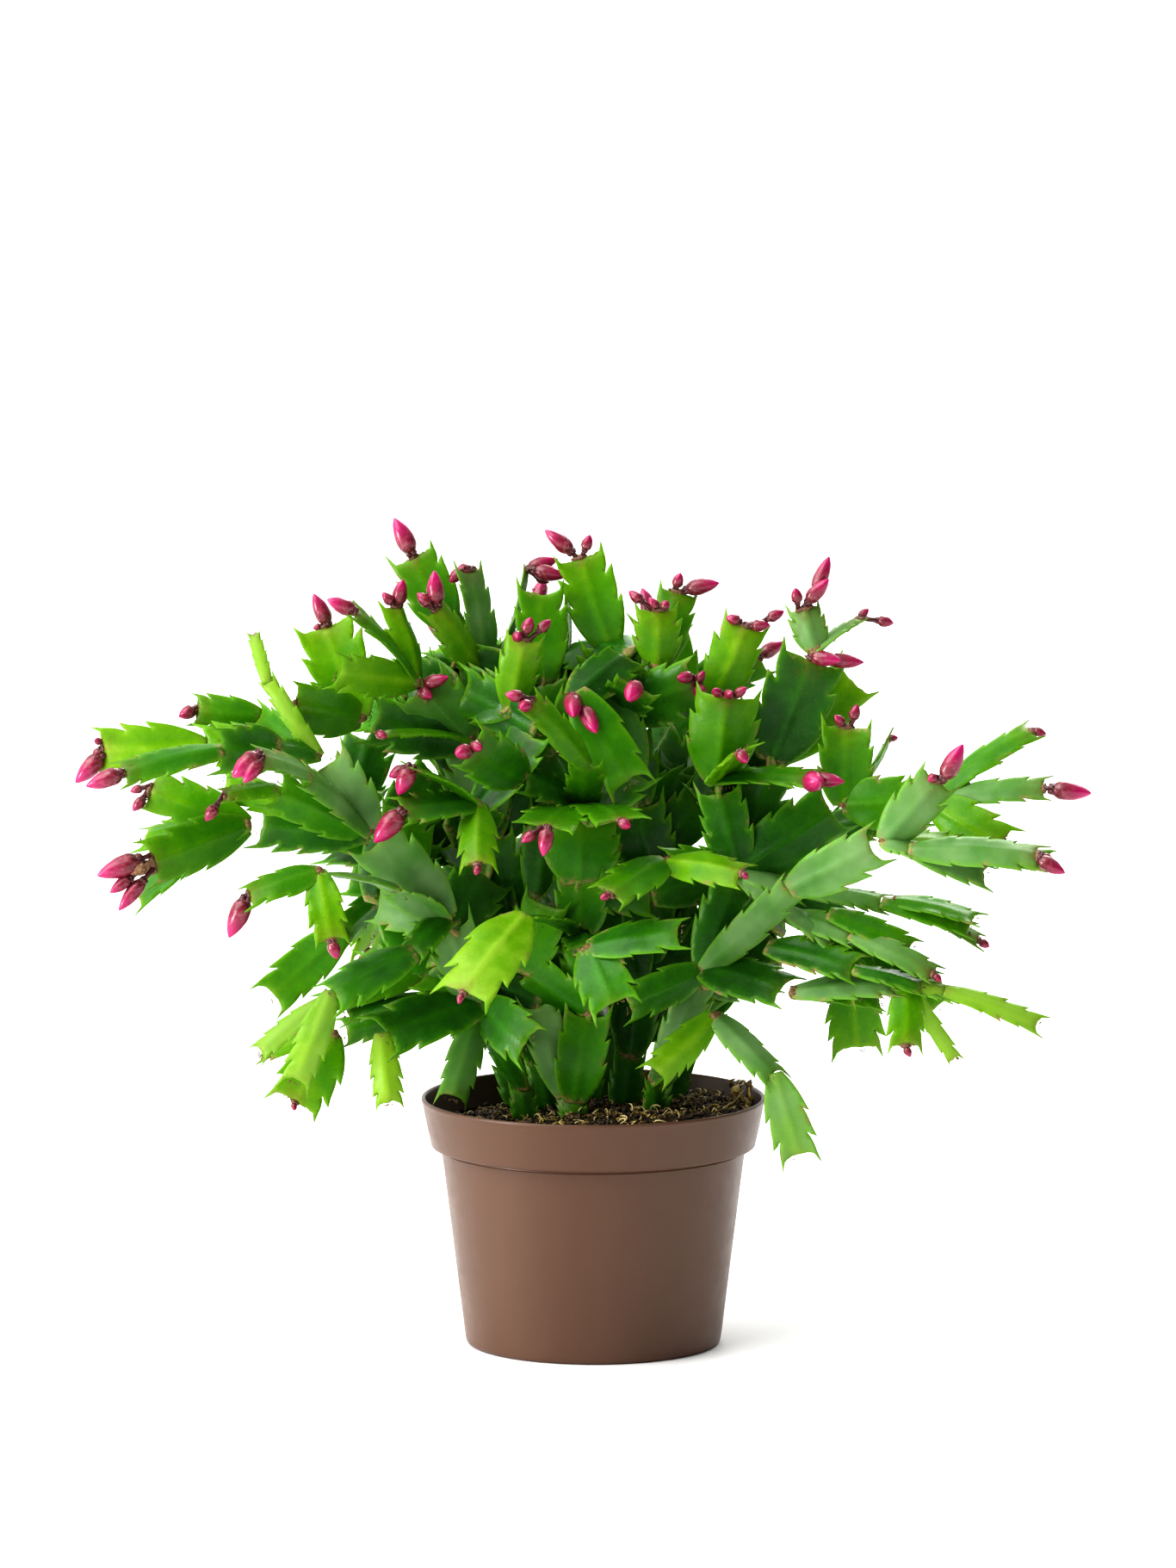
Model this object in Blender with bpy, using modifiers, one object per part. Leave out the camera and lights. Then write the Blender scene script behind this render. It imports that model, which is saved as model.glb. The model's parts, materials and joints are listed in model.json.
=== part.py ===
"""Potted Christmas cactus: a jointed, flat-stemmed plant in a 13 cm nursery pot.

Metres, +Z up. The origin is the middle of the pot's underside, and -Y is the front.
"""

import math

import bmesh
import bpy
from mathutils import Vector

OBJECT_NAME = "potted_christmas_cactus"
MM = 0.001
CM = 0.01
GAP = 0.35 * MM  # clearance between pieces that touch

# Pot: a thin moulded wall under a deep collar.
POT_HEIGHT = 94 * MM
RIM_RADIUS = 65 * MM
COLLAR_HEIGHT = 18.5 * MM
COLLAR_RADIUS = 61.4 * MM  # at the collar's lower edge
NECK_RADIUS = 57.6 * MM  # the wall just under the collar
BASE_RADIUS = 48.2 * MM
WALL = 1.5 * MM
FLOOR = 2.2 * MM
POT_STEPS = 48
DRAIN_HOLES = 6
DRAIN_RADIUS = 4 * MM
DRAIN_CIRCLE = 34 * MM

# Compost: a plug that fills the pot, heaped towards the front and the right.
SOIL_LEVEL = 87 * MM
SOIL_RISE_RIGHT = 4.5 * MM
SOIL_RISE_FRONT = 3.5 * MM
SOIL_DOME = 2.5 * MM
SOIL_STEPS = 32
SOCKET_RADIUS = 7 * MM
SOCKET_FLOOR = 4 * MM  # the socket's floor, under the foot of the stem
SOCKET_LENGTH = 30 * MM

# Flat stem segments.
THICKNESS = 1.9 * MM  # at the midrib
NECK_WIDTH = 4.6 * MM  # at each joint
KNUCKLE_RADIUS = 2.7 * MM  # the corky joint that several shoots spring from
TIP_WIDTH = 0.5  # the cut-off tip, as a part of the segment's width
BOW = 0.045  # how far a segment arches out of its plane, as a part of its length
# Outline of one segment: place along it, half-width as a part of the widest.
OUTLINE = ((0.16, 0.66), (0.58, 1.0), (0.94, 0.82))

# Outline of a bud: place along it, part of the greatest width.
BUD_OUTLINE = ((0.0, 0.28), (0.20, 0.84), (0.45, 1.0), (0.80, 0.60))
BUD_SIDES = 7

# Which way a segment's flat side looks.
FACING = {
    "F": (0, -1, 0),
    "B": (0, 1, 0),
    "R": (1, 0, 0),
    "U": (0, 0, 1),
    "FU": (0, -1, 1),
    "FL": (-1, -1, 0),
    "FR": (1, -1, 0),
    "BU": (0, 1, 1),
    "BL": (-1, 1, 0),
    "BR": (1, 1, 0),
}

GREENS = {
    "dark": (0.020, 0.085, 0.012),
    "mid": (0.045, 0.160, 0.018),
    "bright": (0.130, 0.330, 0.018),
    "pale": (0.330, 0.520, 0.110),
    "grey": (0.090, 0.190, 0.090),
}

BUD_PINK = (0.560, 0.040, 0.190)

# The plant, in centimetres. Each row is one piece: its name, the shoot tip that it springs from as
# (piece, shoot number) or the point where it is rooted, and its shoots. All of a piece's shoots start at
# that one place. A shoot is its green and its joints, and each joint is (x, y, z, width of the segment
# that ends there, facing of that segment).
PLANT = [
    # The left stem and what it carries.
    ("stem_left", (-2.5, -0.8, 8.3), [
        ("dark", [(-2.7, -0.9, 9.9, 1.0, "F"), (-4.1, -1.3, 12.8, 1.5, "FL")]),
    ]),
    ("left_low_fork", ("stem_left", 0), [
        ("grey", [(-5.4, -1.9, 16.2, 2.0, "F")]),
        ("dark", [(-7.9, -3.9, 12.3, 2.3, "FU"), (-7.6, -4.5, 9.8, 1.1, "F")]),
        ("grey", [(-5.3, -2.7, 9.7, 1.3, "F")]),
        ("dark", [(-2.4, -3.4, 11.9, 1.9, "F")]),
        ("mid", [(-6.6, -0.4, 14.0, 1.4, "FU"), (-10.3, -1.2, 13.1, 1.2, "FU"), (-12.6, -1.5, 11.3, 0.9, "FU")]),
        ("dark", [(-6.4, 1.2, 12.6, 1.3, "F"), (-9.5, 0.8, 11.7, 1.2, "F")]),
    ]),
    ("left_low_tips", ("left_low_fork", 5), [
        ("bright", [(-11.3, 0.4, 9.1, 2.1, "F")]),
        ("bright", [(-12.7, 0.9, 10.9, 0.9, "FU")]),
    ]),
    ("left_mid_fork", ("left_low_fork", 0), [
        ("grey", [(-8.2, -2.6, 19.6, 2.3, "F")]),
        ("dark", [(-6.8, -3.6, 15.4, 1.2, "FU"), (-9.8, -4.8, 14.0, 1.8, "FU"), (-11.1, -5.6, 10.8, 1.2, "F")]),
        ("grey", [(-7.4, -3.9, 17.9, 1.2, "U"), (-9.9, -5.0, 18.6, 1.2, "U")]),
        ("grey", [(-8.2, -0.5, 17.0, 2.0, "F")]),
        ("dark", [(-7.8, 1.8, 18.4, 1.8, "FU"), (-11.2, 2.6, 20.0, 1.7, "FU")]),
    ]),
    ("left_droop", ("left_mid_fork", 2), [
        ("mid", [(-12.8, -5.6, 17.9, 1.3, "FU")]),
        ("bright", [(-9.7, -6.3, 16.3, 1.3, "F")]),
    ]),
    ("left_top_fork", ("left_mid_fork", 0), [
        ("grey", [(-10.1, -3.0, 22.5, 2.3, "F")]),
        ("grey", [(-10.6, -5.0, 22.3, 1.2, "FU"), (-12.3, -6.2, 23.1, 1.1, "FU")]),
        ("mid", [(-11.9, -3.9, 21.6, 1.7, "F"), (-13.7, -4.6, 21.5, 0.8, "FU")]),
        ("dark", [(-12.6, -2.8, 20.1, 1.8, "F")]),
    ]),
    ("left_far_top", ("left_top_fork", 0), [
        ("bright", [(-12.4, -2.2, 23.1, 1.4, "FU"), (-14.6, -1.8, 23.0, 1.6, "F"), (-18.4, -1.2, 22.8, 1.8, "F")]),
        ("dark", [(-11.8, -4.0, 23.2, 1.1, "FU"), (-13.9, -4.9, 23.2, 1.9, "F"), (-17.4, -5.8, 22.5, 1.25, "FU")]),
        ("pale", [(-12.2, -2.4, 25.6, 0.7, "F"), (-12.7, -1.6, 27.2, 0.5, "F")]),
        ("mid", [(-12.6, -0.9, 24.0, 1.2, "F"), (-14.9, -0.7, 24.2, 1.3, "F")]),
    ]),
    ("left_far_low", ("left_top_fork", 3), [
        ("bright", [(-16.4, -4.6, 19.0, 1.9, "F")]),
        ("bright", [(-16.6, -2.4, 21.4, 1.7, "F")]),
        ("bright", [(-17.0, -0.9, 19.4, 1.4, "FU")]),
        ("mid", [(-17.1, -3.0, 17.3, 1.1, "FU")]),
    ]),
    # The rear left stem.
    ("stem_rear_left", (-1.6, 0.9, 8.2), [
        ("dark", [(-2.0, 1.0, 10.6, 1.3, "F"), (-2.8, 1.4, 13.6, 1.8, "F"), (-3.2, 1.2, 16.2, 1.9, "F"),
                  (-3.9, 0.8, 19.2, 2.0, "F")]),
    ]),
    ("rear_left_fork", ("stem_rear_left", 0), [
        ("grey", [(-4.6, 0.2, 22.6, 2.2, "F")]),
        ("dark", [(-4.3, -2.0, 20.7, 1.5, "U")]),
        ("dark", [(-5.6, 3.4, 21.4, 1.8, "BL"), (-7.2, 5.0, 24.0, 1.7, "BL")]),
    ]),
    ("front_left_fan", ("rear_left_fork", 1), [
        ("dark", [(-7.1, -4.2, 20.8, 1.4, "FU")]),
        ("mid", [(-6.8, -3.6, 22.4, 1.1, "U")]),
        ("pale", [(-4.3, -4.6, 18.9, 1.4, "F")]),
    ]),
    ("upper_left_fork", ("rear_left_fork", 0), [
        ("grey", [(-6.4, -0.5, 25.0, 2.4, "F")]),
        ("dark", [(-8.4, -0.4, 23.8, 2.0, "F")]),
        ("mid", [(-8.0, -2.2, 23.5, 1.0, "U")]),
        ("mid", [(-5.8, 3.0, 25.4, 1.7, "BL")]),
    ]),
    ("top_left_fan", ("upper_left_fork", 0), [
        ("mid", [(-8.9, -1.6, 28.0, 1.1, "R")]),
        ("bright", [(-9.6, -2.8, 25.9, 1.5, "F")]),
        ("bright", [(-7.4, 0.2, 28.0, 1.3, "FR")]),
    ]),
    ("left_wide_fan", ("upper_left_fork", 1), [
        ("bright", [(-10.1, 0.6, 27.2, 2.3, "F")]),
        ("mid", [(-11.2, -1.6, 24.5, 1.9, "F")]),
    ]),
    # The centre stem.
    ("stem_centre", (-0.7, -1.8, 8.5), [
        ("mid", [(-0.7, -1.8, 9.6, 0.9, "F"), (-0.2, -1.7, 12.9, 1.9, "F"), (-0.4, -1.5, 15.4, 1.7, "F")]),
        ("grey", [(-1.1, -1.7, 9.8, 0.8, "F"), (-2.1, -1.3, 13.2, 1.5, "F")]),
    ]),
    ("front_fork", ("stem_centre", 0), [
        ("mid", [(-0.5, -1.2, 17.8, 1.9, "F"), (-0.4, -1.0, 20.2, 2.8, "F")]),
        ("dark", [(-0.2, -5.4, 15.9, 1.7, "U")]),
        ("dark", [(-2.6, -5.2, 17.0, 1.7, "U"), (-4.8, -8.0, 14.6, 2.4, "FU")]),
    ]),
    ("front_hang", ("front_fork", 1), [
        ("bright", [(0.8, -7.2, 14.0, 2.0, "F")]),
        ("mid", [(3.3, -6.6, 16.6, 1.6, "FU")]),
    ]),
    ("centre_fan", ("front_fork", 0), [
        ("dark", [(-1.5, 0.0, 22.6, 2.0, "F")]),
        ("mid", [(-1.8, -6.2, 20.5, 2.5, "U")]),
        ("mid", [(1.0, -5.8, 20.7, 2.2, "U")]),
        ("mid", [(-0.3, -3.4, 22.5, 1.4, "F"), (-2.3, -4.8, 25.0, 1.2, "FR")]),
        ("dark", [(-2.7, -2.8, 21.9, 1.6, "FU"), (-4.5, -4.8, 23.3, 2.0, "F")]),
    ]),
    ("centre_top_fork", ("centre_fan", 0), [
        ("mid", [(-1.9, 0.6, 25.2, 2.0, "F"), (-2.0, 0.9, 28.6, 1.9, "F")]),
        ("bright", [(-3.1, -1.1, 24.4, 1.2, "F"), (-2.6, -1.7, 27.0, 1.5, "F")]),
        ("dark", [(-3.8, 1.0, 24.7, 1.6, "F")]),
        ("dark", [(-0.7, -1.7, 24.8, 1.3, "F")]),
        ("mid", [(-1.2, 3.0, 24.8, 1.7, "R"), (-1.0, 4.0, 28.0, 1.7, "R")]),
    ]),
    ("centre_fall", ("centre_top_fork", 3), [
        ("bright", [(1.4, -2.7, 21.6, 1.9, "F")]),
    ]),
    ("top_rear_left_fan", ("centre_top_fork", 2), [
        ("mid", [(-5.5, 1.5, 27.2, 1.4, "F"), (-6.8, 1.8, 29.7, 1.9, "F")]),
        ("bright", [(-5.9, -0.2, 28.0, 1.3, "FR")]),
        ("grey", [(-4.7, 1.8, 29.2, 1.5, "FR")]),
        ("grey", [(-2.5, 2.3, 29.1, 1.0, "R")]),
    ]),
    # The rear right stem.
    ("stem_rear_right", (1.1, 0.9, 8.4), [
        ("dark", [(1.4, 1.1, 10.8, 1.3, "F"), (1.8, 1.4, 14.0, 1.8, "F"), (2.2, 1.4, 17.2, 2.0, "F")]),
    ]),
    ("rear_right_fork", ("stem_rear_right", 0), [
        ("dark", [(1.7, 1.3, 20.4, 2.2, "F"), (0.9, 1.2, 23.6, 2.2, "F")]),
        ("dark", [(5.8, 1.6, 17.9, 1.6, "FU"), (9.3, 1.0, 15.9, 1.5, "FU"), (9.8, 1.2, 13.4, 1.2, "F"),
                  (10.0, 1.3, 10.9, 2.0, "F")]),
        ("dark", [(3.9, 4.4, 19.9, 1.8, "BR"), (6.2, 5.0, 22.4, 1.8, "R")]),
    ]),
    ("top_right_fork", ("rear_right_fork", 0), [
        ("bright", [(0.6, 1.4, 26.4, 2.3, "F"), (-0.5, 1.6, 29.7, 2.0, "F")]),
        ("dark", [(2.2, 0.2, 25.5, 2.0, "F")]),
        ("dark", [(3.8, -1.0, 25.2, 2.2, "F")]),
        ("dark", [(1.6, -2.4, 25.3, 1.9, "F")]),
        ("mid", [(3.0, 3.8, 26.6, 1.7, "BR")]),
    ]),
    ("top_right_fan", ("top_right_fork", 1), [
        ("bright", [(2.4, 0.0, 27.9, 1.7, "F")]),
        ("mid", [(3.2, 1.6, 28.4, 1.6, "F")]),
    ]),
    # The right stem.
    ("stem_right", (2.3, -1.2, 8.6), [
        ("grey", [(2.5, -1.2, 10.0, 1.0, "F"), (4.0, -1.9, 14.2, 1.5, "F")]),
        ("dark", [(2.3, -2.2, 10.4, 0.8, "F"), (4.3, -3.6, 12.8, 1.1, "FU")]),
    ]),
    ("right_bottom_fan", ("stem_right", 1), [
        ("grey", [(6.8, -4.7, 10.9, 1.2, "FU"), (7.7, -5.1, 7.9, 1.5, "F")]),
        ("bright", [(2.3, -4.8, 11.0, 1.3, "F")]),
    ]),
    ("right_fork", ("stem_right", 0), [
        ("dark", [(5.3, -1.8, 17.9, 1.8, "F")]),
        ("grey", [(7.4, -4.4, 18.0, 1.3, "F"), (10.5, -5.8, 19.8, 1.8, "F")]),
        ("dark", [(7.2, -4.2, 14.1, 2.0, "FU")]),
        ("mid", [(1.2, -2.9, 13.3, 1.5, "F")]),
    ]),
    ("right_front_fan", ("right_fork", 1), [
        ("grey", [(12.7, -6.4, 22.3, 1.7, "F")]),
        ("grey", [(11.8, -6.6, 19.7, 0.9, "U"), (16.4, -7.2, 19.6, 1.4, "FU")]),
        ("bright", [(13.6, -5.0, 19.7, 0.9, "U")]),
    ]),
    ("right_low_fan", ("right_fork", 2), [
        ("grey", [(11.3, -5.2, 14.5, 1.2, "FU")]),
        ("mid", [(10.8, -3.2, 13.5, 0.8, "FU")]),
    ]),
    ("right_low_tips", ("right_low_fan", 0), [
        ("pale", [(13.2, -5.4, 14.2, 0.8, "FU"), (16.6, -5.6, 13.0, 0.9, "FU")]),
        ("bright", [(11.6, -6.0, 12.3, 1.3, "F")]),
        ("pale", [(13.5, -4.4, 11.5, 0.6, "F")]),
    ]),
    ("right_hub", ("right_fork", 0), [
        ("dark", [(4.7, -1.6, 21.3, 1.8, "F")]),
        ("dark", [(9.1, -1.6, 20.6, 2.3, "F")]),
        ("dark", [(6.6, -0.2, 21.9, 2.1, "F")]),
        ("grey", [(7.9, -2.5, 17.6, 1.2, "U"), (10.9, -3.0, 17.3, 1.0, "U")]),
        ("grey", [(7.4, -3.1, 16.7, 1.1, "U"), (9.7, -4.5, 16.2, 1.2, "FU"), (12.6, -5.4, 14.9, 1.1, "FU")]),
        ("mid", [(2.9, -4.2, 18.9, 1.6, "FU")]),
        ("dark", [(7.8, 1.8, 18.9, 1.8, "FU"), (11.0, 2.8, 19.6, 1.7, "FU")]),
    ]),
    ("right_spray", ("right_hub", 3), [
        ("mid", [(14.3, -4.0, 16.7, 0.9, "U")]),
        ("grey", [(14.4, -3.0, 15.8, 0.8, "U")]),
    ]),
    ("front_mid_fan", ("right_hub", 5), [
        ("bright", [(5.5, -6.0, 18.8, 1.5, "FU")]),
        ("mid", [(0.6, -6.8, 18.1, 1.7, "FU")]),
    ]),
    ("right_centre_fan", ("right_hub", 0), [
        ("bright", [(5.0, -2.2, 24.9, 2.6, "F")]),
        ("bright", [(4.6, -0.2, 24.6, 1.6, "F"), (5.7, 0.0, 27.3, 1.8, "F")]),
        ("bright", [(5.4, -4.5, 23.1, 1.9, "FU")]),
        ("mid", [(8.1, -3.4, 21.9, 1.0, "U")]),
    ]),
    ("right_far_fork", ("right_hub", 1), [
        ("mid", [(9.5, -1.8, 23.7, 2.0, "F")]),
        ("mid", [(12.2, -2.6, 21.0, 2.0, "F")]),
        ("mid", [(11.1, -0.2, 23.0, 1.0, "R")]),
    ]),
    ("right_far_fan", ("right_far_fork", 1), [
        ("mid", [(16.4, -1.4, 23.5, 1.1, "U")]),
        ("grey", [(16.8, -3.4, 21.6, 1.1, "FU")]),
        ("bright", [(15.2, -4.4, 19.6, 1.7, "F")]),
    ]),
    ("right_tall", ("right_hub", 2), [
        ("dark", [(8.2, -0.6, 26.1, 2.7, "F")]),
        ("bright", [(9.9, 1.2, 25.2, 2.1, "F")]),
    ]),
    ("right_tall_tips", ("right_tall", 0), [
        ("grey", [(7.9, -0.4, 28.0, 1.3, "F")]),
        ("grey", [(10.0, 0.4, 27.5, 0.8, "U")]),
    ]),
    # The stems that lean to the back.
    ("stem_back", (-0.2, 2.8, 8.2), [
        ("dark", [(-0.4, 3.2, 11.0, 1.4, "B"), (-0.7, 4.2, 14.6, 1.9, "B"), (-0.6, 5.4, 17.8, 2.1, "B")]),
        ("mid", [(0.7, 3.6, 11.4, 1.2, "B"), (1.9, 5.4, 13.8, 1.6, "BU")]),
    ]),
    ("back_fork", ("stem_back", 0), [
        ("mid", [(-2.2, 6.0, 20.8, 2.1, "B"), (-3.0, 6.8, 23.9, 2.0, "BL")]),
        ("dark", [(1.8, 6.2, 20.6, 2.0, "B"), (3.4, 7.0, 23.4, 2.1, "BR")]),
        ("mid", [(-0.4, 8.8, 18.6, 2.0, "BU"), (-0.2, 11.6, 16.0, 1.9, "BU")]),
    ]),
    ("back_left_fan", ("back_fork", 0), [
        ("bright", [(-5.6, 7.8, 26.0, 1.9, "B")]),
        ("mid", [(-2.2, 6.0, 27.2, 1.8, "BL")]),
        ("bright", [(-5.2, 9.8, 22.8, 1.7, "BU")]),
    ]),
    ("back_right_fan", ("back_fork", 1), [
        ("bright", [(2.4, 6.8, 26.8, 1.9, "B")]),
        ("mid", [(6.4, 7.8, 25.2, 1.8, "B")]),
        ("bright", [(4.8, 10.4, 22.0, 1.7, "BU")]),
    ]),
    ("stem_back_left", (-2.6, 2.4, 8.2), [
        ("dark", [(-3.3, 2.9, 10.8, 1.4, "B"), (-4.9, 4.0, 14.0, 1.8, "BL"), (-6.7, 5.2, 16.8, 2.0, "BL")]),
    ]),
    ("back_left_low_fan", ("stem_back_left", 0), [
        ("mid", [(-9.4, 5.8, 19.2, 2.0, "B"), (-12.6, 6.6, 20.0, 1.8, "BU")]),
        ("bright", [(-7.8, 8.4, 16.6, 1.8, "BU"), (-8.8, 10.4, 13.4, 1.9, "BL")]),
        ("mid", [(-9.6, 4.4, 15.0, 1.6, "BU"), (-12.4, 4.6, 12.4, 1.7, "B")]),
    ]),
    ("stem_back_right", (2.7, 2.3, 8.5), [
        ("dark", [(3.3, 2.8, 10.9, 1.4, "B"), (5.3, 4.0, 13.8, 1.8, "BR"), (7.1, 5.2, 16.4, 2.0, "BR")]),
    ]),
    ("back_right_low_fan", ("stem_back_right", 0), [
        ("mid", [(9.8, 6.0, 18.8, 2.0, "B"), (13.0, 6.8, 19.2, 1.8, "BU")]),
        ("bright", [(8.2, 8.4, 16.0, 1.8, "BU"), (9.2, 10.4, 12.8, 1.9, "BR")]),
        ("mid", [(10.4, 4.6, 14.6, 1.6, "BU"), (13.2, 4.8, 11.8, 1.7, "B")]),
    ]),
]

# The larger flower buds. Each row is one cluster: its name, the shoot tip that bears it, and its buds.
# A bud is the (x, y, z) run from its foot to its point, and its width, in centimetres.
BUDS = [
    ("buds_left_far", ("left_far_top", 0), [(-0.9, -0.3, -1.05, 0.75), (-0.3, 0.1, -0.55, 0.45)]),
    ("buds_left_front", ("left_far_top", 1), [(-1.3, -0.2, -0.5, 0.72)]),
    ("buds_left_pair", ("left_top_fork", 1), [(-1.0, -0.3, -0.75, 0.85), (-0.5, -0.5, -0.8, 0.62)]),
    ("buds_left_low", ("left_far_low", 0), [(-1.9, -0.4, -0.7, 0.85), (-1.3, -0.3, -1.5, 0.6)]),
    ("bud_left_droop", ("left_droop", 0), [(-0.6, -0.1, -1.6, 0.8)]),
    ("buds_left_edge", ("left_wide_fan", 0), [(-0.5, 0.0, 1.15, 0.65)]),
    ("buds_top_left", ("top_rear_left_fan", 0), [(-0.6, 0.0, 1.45, 0.75)]),
    ("buds_top_middle", ("top_right_fork", 0), [(-1.1, 0.0, 1.1, 0.65), (0.3, -0.1, 0.75, 0.45)]),
    ("buds_top_right", ("top_right_fan", 1), [(1.4, -0.1, 0.4, 0.65), (0.2, -0.2, 0.65, 0.45)]),
    ("buds_right_tall", ("right_tall_tips", 0), [
        (0.9, -0.2, 1.1, 0.6), (0.8, 0.3, 1.8, 0.6), (-0.1, -0.3, 0.8, 0.45),
    ]),
    ("bud_right_far", ("right_far_fan", 1), [(1.7, 0.0, -0.25, 0.75)]),
]


def clear_scene():
    for obj in list(bpy.data.objects):
        bpy.data.objects.remove(obj)


def new_collection(name, hidden=False):
    collection = bpy.data.collections.new(name)
    bpy.context.scene.collection.children.link(collection)
    collection.hide_render = hidden
    return collection


def add_object(name, mesh, collection):
    obj = bpy.data.objects.new(name, mesh)
    collection.objects.link(obj)
    return obj


def give_material(obj, color, roughness):
    material = bpy.data.materials.new(obj.name)
    material.use_nodes = True
    shader = material.node_tree.nodes["Principled BSDF"]
    shader.inputs["Base Color"].default_value = (*color, 1)
    shader.inputs["Roughness"].default_value = roughness
    shader.inputs["Metallic"].default_value = 0
    obj.data.materials.append(material)


def turned(name, profile, steps, collection):
    """A shape turned round Z from (radius, height) points that run down its outer side."""
    mesh = bpy.data.meshes.new(name)
    points = [(radius, 0, height) for radius, height in profile]
    edges = [(i, i + 1) for i in range(len(points) - 1)]
    mesh.from_pydata(points, edges, [])
    obj = add_object(name, mesh, collection)
    screw = obj.modifiers.new("turn", "SCREW")
    screw.steps = screw.render_steps = steps
    screw.use_merge_vertices = True
    screw.merge_threshold = 0.00001
    return obj


def as_mesh(obj):
    """The object's modifiers become its mesh."""
    graph = bpy.context.evaluated_depsgraph_get()
    mesh = bpy.data.meshes.new_from_object(obj.evaluated_get(graph))
    obj.modifiers.clear()
    obj.data = mesh


def cut(obj, cutters):
    """Boolean each cutter out of the object."""
    for cutter in cutters:
        cutter.hide_render = True
        cutter.display_type = "WIRE"
        boolean = obj.modifiers.new(cutter.name, "BOOLEAN")
        boolean.operation = "DIFFERENCE"
        boolean.solver = "EXACT"
        boolean.object = cutter


def keep_largest_island(mesh):
    """Leave out the closed pockets between crossing shoots."""
    bm = bmesh.new()
    bm.from_mesh(mesh)
    islands = []
    left = set(bm.verts)
    while left:
        found = {left.pop()}
        edge = list(found)
        while edge:
            near = [e.other_vert(v) for v in edge for e in v.link_edges]
            edge = [v for v in set(near) if v in left]
            left.difference_update(edge)
            found.update(edge)
        islands.append(found)
    islands.sort(key=len)
    spare = [v for island in islands[:-1] for v in island]
    bmesh.ops.delete(bm, geom=spare, context="VERTS")
    bm.to_mesh(mesh)
    bm.free()


def cylinder(name, radius, depth, centre, collection):
    mesh = bpy.data.meshes.new(name)
    bm = bmesh.new()
    bmesh.ops.create_cone(bm, segments=12, radius1=radius, radius2=radius, depth=depth, cap_ends=True)
    bmesh.ops.translate(bm, verts=bm.verts, vec=centre)
    bm.to_mesh(mesh)
    bm.free()
    return add_object(name, mesh, collection)


def wall_radius(height):
    """The pot's outer radius under the collar."""
    part = height / (POT_HEIGHT - COLLAR_HEIGHT)
    return BASE_RADIUS + (NECK_RADIUS - BASE_RADIUS) * part


def make_pot(collection, hidden):
    collar_base = POT_HEIGHT - COLLAR_HEIGHT
    profile = [
        (0, FLOOR),
        (BASE_RADIUS - WALL - 1 * MM, FLOOR),
        (wall_radius(FLOOR + 1 * MM) - WALL, FLOOR + 1 * MM),
        (NECK_RADIUS - WALL, collar_base),
        (COLLAR_RADIUS - WALL, collar_base + 1.8 * MM),
        (RIM_RADIUS - 1.6 * MM, POT_HEIGHT - 1 * MM),
        (RIM_RADIUS - 1.1 * MM, POT_HEIGHT - 0.2 * MM),
        (RIM_RADIUS - 0.5 * MM, POT_HEIGHT),
        (RIM_RADIUS, POT_HEIGHT - 0.8 * MM),
        (COLLAR_RADIUS, collar_base + 0.3 * MM),
        (COLLAR_RADIUS - 0.4 * MM, collar_base),
        (NECK_RADIUS, collar_base - 0.2 * MM),
        (wall_radius(1.4 * MM), 1.4 * MM),
        (BASE_RADIUS - 0.5 * MM, 0.4 * MM),
        (BASE_RADIUS - 1.6 * MM, 0),
        (0, 0),
    ]
    pot = turned("pot", profile, POT_STEPS, collection)
    holes = []
    for i in range(DRAIN_HOLES):
        angle = 2 * math.pi * i / DRAIN_HOLES
        centre = (DRAIN_CIRCLE * math.cos(angle), DRAIN_CIRCLE * math.sin(angle), FLOOR / 2)
        holes.append(cylinder(f"drain_hole_{i + 1}", DRAIN_RADIUS, 4 * FLOOR, centre, hidden))
    cut(pot, holes)
    give_material(pot, (0.130, 0.075, 0.048), 0.38)


def soil_height(x, y):
    """The height of the compost at a place."""
    out = min(1.0, math.hypot(x, y) / COLLAR_RADIUS)
    lean = SOIL_RISE_RIGHT * x / COLLAR_RADIUS - SOIL_RISE_FRONT * y / COLLAR_RADIUS
    return SOIL_LEVEL + SOIL_DOME * (1 - out * out) + lean


def make_soil(collection, hidden, roots):
    collar_base = POT_HEIGHT - COLLAR_HEIGHT
    inside = WALL + GAP
    bottom = FLOOR + GAP
    edge = COLLAR_RADIUS - inside
    profile = [(edge * part, SOIL_LEVEL) for part in (0, 0.25, 0.5, 0.75, 0.93)]
    profile += [
        (edge, SOIL_LEVEL - 1.5 * MM),
        (edge, collar_base + 3.2 * MM),
        (NECK_RADIUS - inside, collar_base + 0.8 * MM),
        (wall_radius(bottom + 3 * MM) - inside, bottom + 3 * MM),
        (BASE_RADIUS - inside - 4 * MM, bottom),
        (0, bottom),
    ]
    soil = turned("soil", profile, SOIL_STEPS, collection)
    as_mesh(soil)
    for vertex in soil.data.vertices:
        if vertex.co.z > SOIL_LEVEL - 2 * MM:
            vertex.co.z += soil_height(vertex.co.x, vertex.co.y) - SOIL_LEVEL
    sockets = []
    for i, root in enumerate(roots):
        centre = (root.x, root.y, root.z - SOCKET_FLOOR + SOCKET_LENGTH / 2)
        sockets.append(cylinder(f"socket_{i + 1}", SOCKET_RADIUS, SOCKET_LENGTH, centre, hidden))
    cut(soil, sockets)
    give_material(soil, (0.030, 0.016, 0.009), 0.95)


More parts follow.
